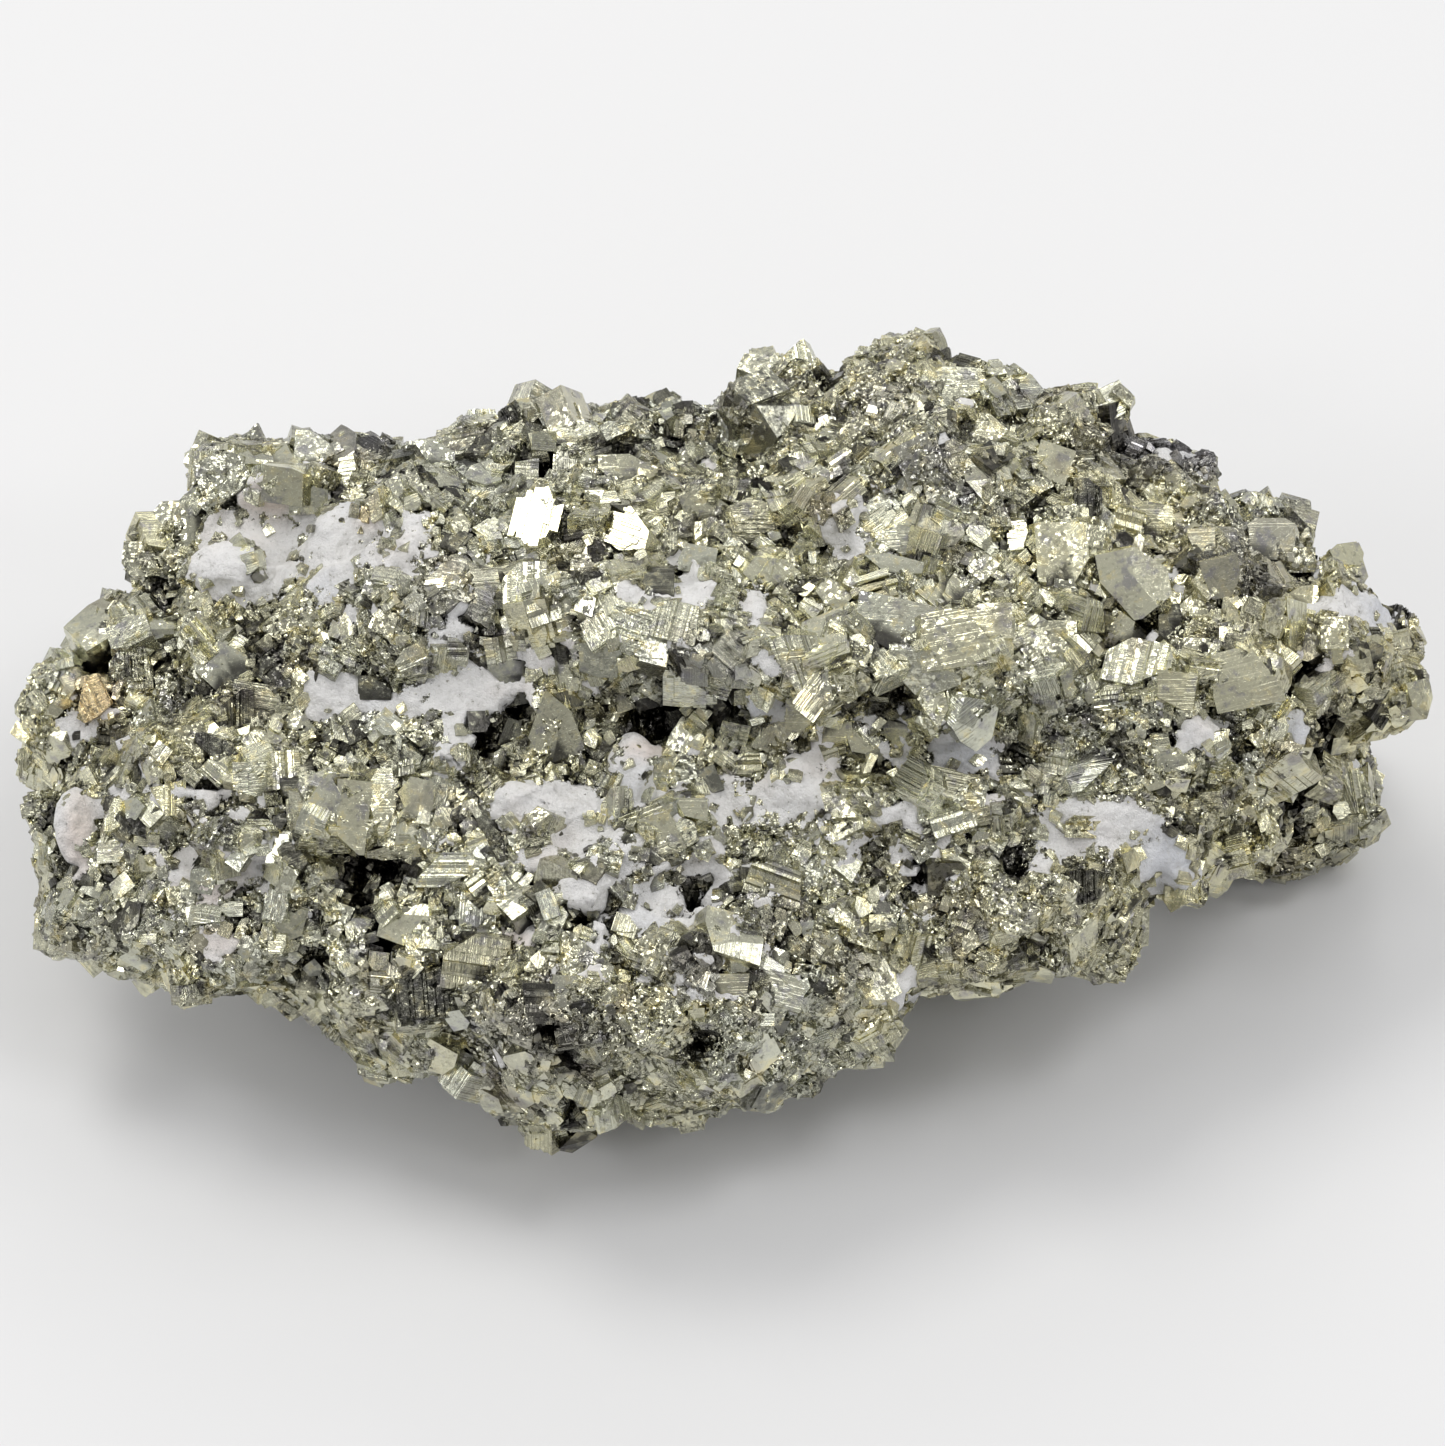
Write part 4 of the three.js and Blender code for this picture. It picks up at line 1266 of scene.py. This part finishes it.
# The crystals that catch the eye: across, down, width and height in pixels, form, and for some shine and
# turn. A shine of 2 mirrors the key light or the nearest soft box, 1 leans that way, and -1 is painted dark,
# as a facet mirroring something dark.
showCrystals = {
    "list": [
        (315, 447, 44, 40, "plain"), (308, 495, 40, 42, "terraced"), (345, 470, 24, 36, "mirror", 2),
        (225, 480, 76, 60, "hackle", 0, -10), (537, 514, 88, 66, "mirror", 2, 78),
        (622, 527, 70, 58, "mirror", 2, -30), (611, 497, 22, 18, "faceted", 2),
        (665, 497, 20, 18, "faceted", 2), (530, 552, 40, 36, "pyritohedron", 1, 20),
        (528, 583, 50, 42, "ribs"), (625, 470, 54, 36, "broad"), (568, 432, 60, 30, "broad"),
        (527, 475, 40, 24, "ribs", 0, 90), (757, 366, 48, 32, "broad", 0, -15),
        (800, 360, 34, 40, "ribs", 1, 10), (752, 525, 60, 54, "pyritohedron"),
        (705, 508, 50, 38, "broad", 0, 10), (658, 582, 36, 36, "plain", -1),
        (677, 622, 46, 40, "ribs", 0, -15), (628, 627, 46, 42, "ribs", 1, 70), (457, 497, 40, 28, "faceted"),
        (868, 578, 42, 8, "plain", 2, 14), (874, 586, 52, 9, "plain", 2, 14),
        (880, 595, 38, 10, "plain", 2, 14), (860, 612, 34, 17, "ribs", 2, -35),
        (893, 564, 60, 18, "broad", 0, -12), (838, 596, 34, 40, "broad", 0, 30),
        (800, 662, 48, 60, "ribs", 0, 20), (898, 625, 84, 62, "broad", 0, -8),
        (955, 640, 74, 66, "broad", 0, 10), (925, 672, 70, 50, "broad"), (985, 622, 52, 50, "faceted"),
        (940, 700, 48, 50, "hackle", 2, 15), (805, 715, 42, 38, "plain"), (1015, 675, 50, 48, "knob", 1),
        (975, 378, 28, 20, "faceted", 2), (955, 385, 70, 48, "broad"), (985, 435, 62, 54, "broad"),
        (1055, 425, 50, 50, "knob"), (1018, 532, 26, 54, "mirror", 2), (994, 514, 30, 32, "ribs", 1, 10),
        (1062, 560, 56, 80, "broad", 0, 8), (1112, 497, 34, 28, "ribs", 1), (1088, 500, 28, 44, "ribs", -1),
        (1220, 508, 42, 46, "knob", 1), (1135, 582, 68, 76, "broad", 0, 10), (1202, 545, 28, 34, "plain", 1),
        (1222, 578, 38, 46, "faceted", 0, 12), (1260, 588, 46, 32, "crumbs", -1),
        (1270, 540, 66, 46, "broad"), (1335, 633, 32, 36, "plain"), (1245, 680, 68, 66, "broad", 0, 15),
        (1138, 662, 66, 48, "ribs", 1, -15), (1172, 622, 30, 40, "plain", -1),
        (94, 697, 38, 40, "ribs", 0, 25), (130, 665, 44, 54, "ribs", 0, 5), (170, 690, 42, 60, "knob", 1),
        (222, 668, 54, 58, "broad", 0, 15), (195, 624, 34, 24, "ribs"),
        (262, 697, 60, 40, "faceted", 0, -10), (240, 712, 38, 44, "ribs", -1),
        (215, 747, 38, 28, "ribs", -1), (375, 688, 36, 26, "plain", -1), (385, 657, 42, 46, "knob"),
        (112, 850, 32, 34, "faceted", 2), (115, 815, 20, 34, "ribs", 1), (168, 797, 36, 36, "ribs"),
        (291, 790, 22, 24, "plain", -1), (322, 806, 36, 62, "broad"), (353, 814, 38, 80, "broad", 0, -3),
        (384, 802, 34, 66, "broad", 0, 3), (345, 842, 56, 30, "faceted"), (300, 812, 26, 44, "plain"),
        (38, 806, 30, 36, "crumbs"), (415, 798, 36, 44, "broad"), (390, 853, 56, 18, "faceted", 0, 5),
        (450, 870, 34, 66, "ribs", 0, 90), (552, 735, 52, 86, "broad", 0, 20), (510, 672, 46, 26, "broad"),
        (460, 752, 20, 18, "ribs", 1), (657, 778, 36, 44, "faceted", 0, 10), (692, 810, 30, 24, "plain"),
        (650, 835, 24, 24, "ribs"), (680, 835, 32, 28, "plated", 0, 30), (735, 840, 36, 42, "knob"),
        (752, 775, 44, 34, "ribs", 0, 90), (778, 890, 48, 66, "ribs", 0, 70),
        (437, 992, 80, 60, "ribs", -1, 5), (358, 990, 58, 52, "knob", 1), (277, 943, 18, 26, "faceted", 2),
        (147, 938, 20, 18, "faceted", 2), (232, 909, 22, 20, "faceted", 2),
        (655, 1015, 70, 60, "hackle", 1, -8), (725, 993, 54, 44, "broad"), (763, 1019, 22, 18, "faceted", 2),
        (1010, 903, 52, 56, "knob", 1), (920, 905, 50, 36, "knob"), (1010, 783, 42, 20, "faceted", 1),
        (1055, 885, 24, 46, "plated", 1, 70), (1085, 890, 32, 38, "ribs", -1),
        (1195, 890, 28, 32, "ribs", 1), (1347, 815, 34, 34, "mirror", 2), (1305, 850, 40, 38, "crumbs"),
        (1376, 800, 26, 36, "crumbs"), (1310, 812, 30, 40, "knob"), (435, 565, 42, 38, "crumbs"),
        (700, 560, 44, 38, "broad"), (480, 585, 42, 38, "faceted", 0, 15), (590, 565, 38, 38, "faceted"),
        (560, 625, 48, 40, "broad", 0, -10), (1300, 600, 36, 34, "faceted"), (1180, 690, 44, 40, "broad"),
        (1060, 640, 48, 44, "broad", 0, 10), (1205, 800, 50, 40, "crumbs"),
        (1250, 760, 44, 40, "crumbs", 0, 10), (690, 690, 54, 40, "terraced"), (430, 455, 50, 34, "broad"),
        (440, 600, 46, 36, "hackle"), (905, 540, 60, 34, "broad"), (1150, 520, 46, 38, "broad"),
        (1295, 560, 40, 34, "faceted"), (1090, 720, 60, 40, "crumbs"), (1375, 690, 36, 34, "hackle"),
        (860, 430, 44, 34, "faceted"), (300, 620, 60, 36, "crumbs"), (420, 730, 60, 34, "crumbs"),
        (190, 530, 34, 60, "broad"), (600, 660, 40, 34, "terraced"),
    ],
    "thickness": 0.8,  # to the smaller of width and height
    "thickest": 3.0 * mm,
    "top": 0.16 * mm,  # how far they stand above the calm surface
    "mirrorStray": 0.03,  # how far the facing of mirrors and of leaning ones strays
    "leaningStray": 0.10,
    "wander": 0.14,  # how far the facing of one that is 40 pixels across strays
    "room": 0.19,  # the share of its width and height that a crystal keeps clear
    "paintedDarkTone": 0.16,
    "leastTone": 0.7,
    "shiningRoughness": 0.25,
    "mirrorFinish": (0.03, 0.25),  # grit and striae
}

# The facings that show each soft box to the camera, and which of them are chosen sooner.
mirrors = np.array([unit(outAxis + unit(np.array(light["aim"]))) for light in lights.values()])
mirrorChoice = np.array([{"key": 0.12, "back": -1.0}.get(name, 0) for name in lights])


def dullest(choices):
    # of some facings, the one that is furthest from showing a soft box to the camera
    return choices[np.argmin((choices @ mirrors.T).max(axis=1))]


def placedCrystals(shapeSet, random):
    # the crystals that catch the eye, where the picture shows them
    made = {key: [] for key in ("point", "ground", "normal", "facing", "twist", "size", "form", "shine")}
    for px, py, wide, high, form, *rest in showCrystals["list"]:
        shine, turn = (*rest, 0, 0)[:2]
        hit, _, index, _ = calmTree.ray_cast(*pictureRay(px, py))
        if hit is None:
            print("no ground under", px, py)
            continue
        hit, normal = np.array(hit), unit(calm["normals"][calm["corners"][index]].mean(axis=0))
        jitter = random.normal(size=(8, 3))
        mirror = mirrors[np.argmax(mirrors @ normal + mirrorChoice)]
        width, height = wide / picture["scale"], high / picture["scale"]
        if shine == 2:
            facing = unit(mirror + jitter[0] * showCrystals["mirrorStray"])
            hit = hit + outAxis * (1 - facing @ normal) * min(width, height) * 0.5
        elif shine == 1:
            facing = unit(mirror + outAxis * 0.7 + jitter[0] * showCrystals["leaningStray"])
        else:
            stray = jitter * showCrystals["wander"] * 40 / (wide + high)
            facing = dullest(unit(outAxis * 0.6 + normal * 0.5 + stray))
        thick = min(min(width, height) * showCrystals["thickness"], showCrystals["thickest"])
        facts = {"ground": hit, "normal": normal, "facing": facing, "twist": math.radians(turn),
                 "size": (width, height, thick), "form": form, "shine": shine,
                 "point": hit + normal * showCrystals["top"] - facing * thick * 0.5}
        for key, value in facts.items():
            made[key].append(value)
        taken["show"].take(hit, (width + height) * showCrystals["room"])
    made = {key: np.array(values) for key, values in made.items()}
    fields = fieldsAt(made["ground"], made["normal"])
    look = lookOf(made["ground"], fields, random)
    shine = made["shine"]
    look[:, 0] = np.maximum(look[:, 0], showCrystals["leastTone"])
    # painted dark reflection on the crystals given a shine of -1
    look[shine < 0, 0] = showCrystals["paintedDarkTone"]
    look[shine > 0, 0] = 1.0
    look[shine > 0, 2] = showCrystals["shiningRoughness"]
    finish = finishOf(made["form"], fields, random)
    finish[shine == 2, :2] = showCrystals["mirrorFinish"]
    return {
        "point": made["point"],
        "turn": quaternions(axesFrom(made["facing"], made["twist"])),
        "size": made["size"],
        "kind": shapesOf(shapeSet, made["form"], random),
        "look": look,
        "finish": finish,
    }


showSet = crystalSet(
    "showShape", 3, faceted=8, plain=6, broad=14, terraced=6, ribs=14, plated=4, pyritohedron=3, shard=4,
    knob=6, crumbs=6, hackle=6, mirror=5)
largeSet = crystalSet(
    "largeShape", 4, faceted=12, broad=8, plain=4, stepped=8, largeRibs=14, plated=4, pyritohedron=3, shard=4,
    largeHackle=12, crumbs=6)
mediumSet = crystalSet("mediumShape", 5, faceted=14, plain=5, smallRibs=8, shard=6, crumbs=5)
grainSet = crystalSet("grainShape", 6, faceted=8, plain=6, shard=8)
print("crystal shapes made")

# The strewn crystals. Tries are places looked at, of which chance, room, clay and pits leave some. Together
# is the share that follows its cluster, and a rimless layer keeps off the outline.
layers = {
    "large": {
        "tries": 40000, "least": 1.8 * mm, "most": 4.2 * mm, "skew": 1.6, "reach": 0.27,
        "chance": 0.30, "coarseGain": 0.6, "overClay": 0.4 * mm, "onClay": 0.0,
        "leaning": 0.14, "together": 0.75, "top": (-0.18 * mm, 0.12 * mm), "rimless": 0.85,
        "forms": {"faceted": 4, "broad": 3, "plain": 1, "stepped": 3, "largeRibs": 4, "plated": 0.7,
                  "pyritohedron": 0.5, "shard": 0.2, "largeHackle": 3.5, "crumbs": 1.4}},
    "medium": {
        "tries": 70000, "least": 1.0 * mm, "most": 2.0 * mm, "skew": 1.3, "reach": 0.275,
        "chance": 0.65, "coarseGain": 0.1, "overClay": 0.26 * mm, "onClay": 0.010,
        "leaning": 0.24, "together": 0.55, "top": (-0.20 * mm, 0.14 * mm), "rimless": 0.0,
        "forms": {"faceted": 5, "plain": 1.5, "smallRibs": 3, "shard": 0.8, "crumbs": 1.5}},
    "grain": {
        "tries": 80000, "least": 0.5 * mm, "most": 1.0 * mm, "skew": 1.1, "reach": 0.34,
        "chance": 0.6, "coarseGain": -0.2, "overClay": 0.14 * mm, "onClay": 0.025,
        "leaning": 0.45, "together": 0.25, "top": (-0.24 * mm, 0.14 * mm), "rimless": 0.0,
        "forms": {"faceted": 4, "plain": 3, "shard": 1.5}},
}


def halfGround(name, side):
    # the ground to one side of the middle, closed where it is cut
    shape = bmesh.new()
    shape.from_mesh(groundShape)
    sliced(shape, (-side, 0, 0), 0.0)
    for face in shape.faces:
        if abs(face.normal.x) > 0.999 and abs(face.calc_center_median().x) < 1e-6:
            face.smooth = False
            for edge in face.edges:
                edge.smooth = False
    mesh = bpy.data.meshes.new(name)
    shape.to_mesh(mesh)
    shape.free()
    mesh.materials.append(groundSkin)
    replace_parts(shown(name, mesh), "pyrite_mass")


def grownLayer(name, piece, shapeSet):
    # the crystals of a layer in two pieces, by where they stand along the specimen
    crystals = strewn(name, layers[name], shapeSet, random)
    order = np.argsort(crystals["point"][:, 0])
    for number, chunk in enumerate(np.array_split(order, 2)):
        grown(f"{piece}_{number + 1}", shapeSet, {key: values[chunk] for key, values in crystals.items()})


halfGround("pyrite_ground_left", -1)
halfGround("pyrite_ground_right", 1)
grown("show_crystals", showSet, placedCrystals(showSet, random))
grownLayer("large", "large_crystals", largeSet)
grownLayer("medium", "medium_crystals", mediumSet)
grownLayer("grain", "grains", grainSet)

# Clay plugs

plugs = {
    "voxel": 0.30 * mm,
    "rounding": 8,
    "swell": 0.10 * mm,
    "above": 0.05 * mm,  # how far they stand above the ground's clay
}


def clayPlug(name):
    # a plug of clay in its pocket, levelled with the ground's clay
    mesh = remeshed(name + "_clay", mergedCopy(frame["nodes"][name]), plugs["voxel"])
    points = smoothed(pointsOf(mesh), valuesOf(mesh.edges, "vertices", 2, np.int32), plugs["rounding"])
    setPoints(mesh, points)
    normals = normalsOf(mesh)
    fields = fieldsAt(points, normals)
    points += normals * plugs["swell"]
    level = ground["clayLevel"] + plugs["above"] + clayRelief(points)
    for i, point in enumerate(points):
        place, facing, _, _ = calmTree.find_nearest(Vector(point))
        height = (Vector(point) - place).dot(facing)
        if height > level[i]:
            points[i] = point - np.array(facing) * (height - level[i])
    setPoints(mesh, points)
    setVectors(mesh, "cover", np.ones(len(points)), clayTints(fields))
    mesh.materials.clear()
    mesh.materials.append(clay)
    for polygon in mesh.polygons:
        polygon.use_smooth = True
    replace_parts(shown(name + "_clay", mesh), name)


for nodeName in clayNodes():
    clayPlug(nodeName)
print("clay made")

# The shapes that the crystals were copied from go, so that only pieces are left.
for shapeSet in (showSet, largeSet, mediumSet, grainSet):
    for thing in list(shapeSet["collection"].objects):
        bpy.data.objects.remove(thing)
    bpy.data.collections.remove(shapeSet["collection"])

# Floor, lights and camera

floorLook = {"colour": (0.725, 0.725, 0.735, 1), "roughness": 0.8, "width": 6.0}


def floorShader(maker):
    return maker.node("ShaderNodeBsdfPrincipled", None, {
        "Base Color": floorLook["colour"], "Roughness": floorLook["roughness"]})


def makeFloor():
    half = floorLook["width"] / 2
    corners = [(-half, -half, 0), (half, -half, 0), (half, half, 0), (-half, half, 0)]
    mesh = meshOf("floor", corners, [(0, 1, 2, 3)], newMaterial("paleFloor", floorShader))
    added("floor", mesh)


def makeLight(name):
    facts = lights[name]
    lamp = bpy.data.lights.new(name, "AREA")
    lamp.shape = "SQUARE"
    lamp.size = facts["size"]
    lamp.energy = facts["shine"] * math.pi * facts["size"] ** 2
    lamp.color = facts["colour"]
    holder = added(name, lamp)
    aim = Vector(facts["aim"]).normalized()
    holder.location = Vector(middle) + aim * room["distance"]
    holder.rotation_euler = aim.to_track_quat("Z", "Y").to_euler()


def makeWorld():
    # a pale room, brightest above and behind the specimen
    world = bpy.data.worlds.new("room")
    world.use_nodes = True
    maker = Maker(world.node_tree)
    aim = tuple(unit(np.array(room["aim"])))
    way = maker.term("ShaderNodeTexCoord", None, None, 0)
    way = maker.vector("NORMALIZE", way)
    facing = maker.vector("DOT_PRODUCT", way, aim, output=1)
    front = maker.vector("DOT_PRODUCT", way, room["frontAim"], output=1).between(*room["frontFrom"])
    shade = facing.between(*room["aimFrom"], room["low"], room["high"]) * (1 - front * room["frontShade"])
    back = maker.node("ShaderNodeBackground", None, {"Color": (1.0, 1.0, 1.0, 1), "Strength": shade})
    maker.node("ShaderNodeOutputWorld", None, {"Surface": back.outputs[0]})
    bpy.context.scene.world = world


def makeCamera():
    lens = bpy.data.cameras.new("camera")
    lens.sensor_fit = "HORIZONTAL"
    lens.sensor_width = picture["sensor"]
    lens.lens = picture["sensor"] * picture["distance"] * picture["scale"] / picture["width"]
    lens.clip_start = picture["nearest"]
    holder = added("camera", lens)
    holder.location = Vector(cameraPlace)
    holder.rotation_euler = (math.pi / 2 - tilt, 0, 0)
    bpy.context.scene.camera = holder


makeFloor()
for lightName in lights:
    makeLight(lightName)
makeWorld()
makeCamera()
bpy.context.scene.view_settings.view_transform = "Standard"
bpy.context.scene.view_settings.look = "None"
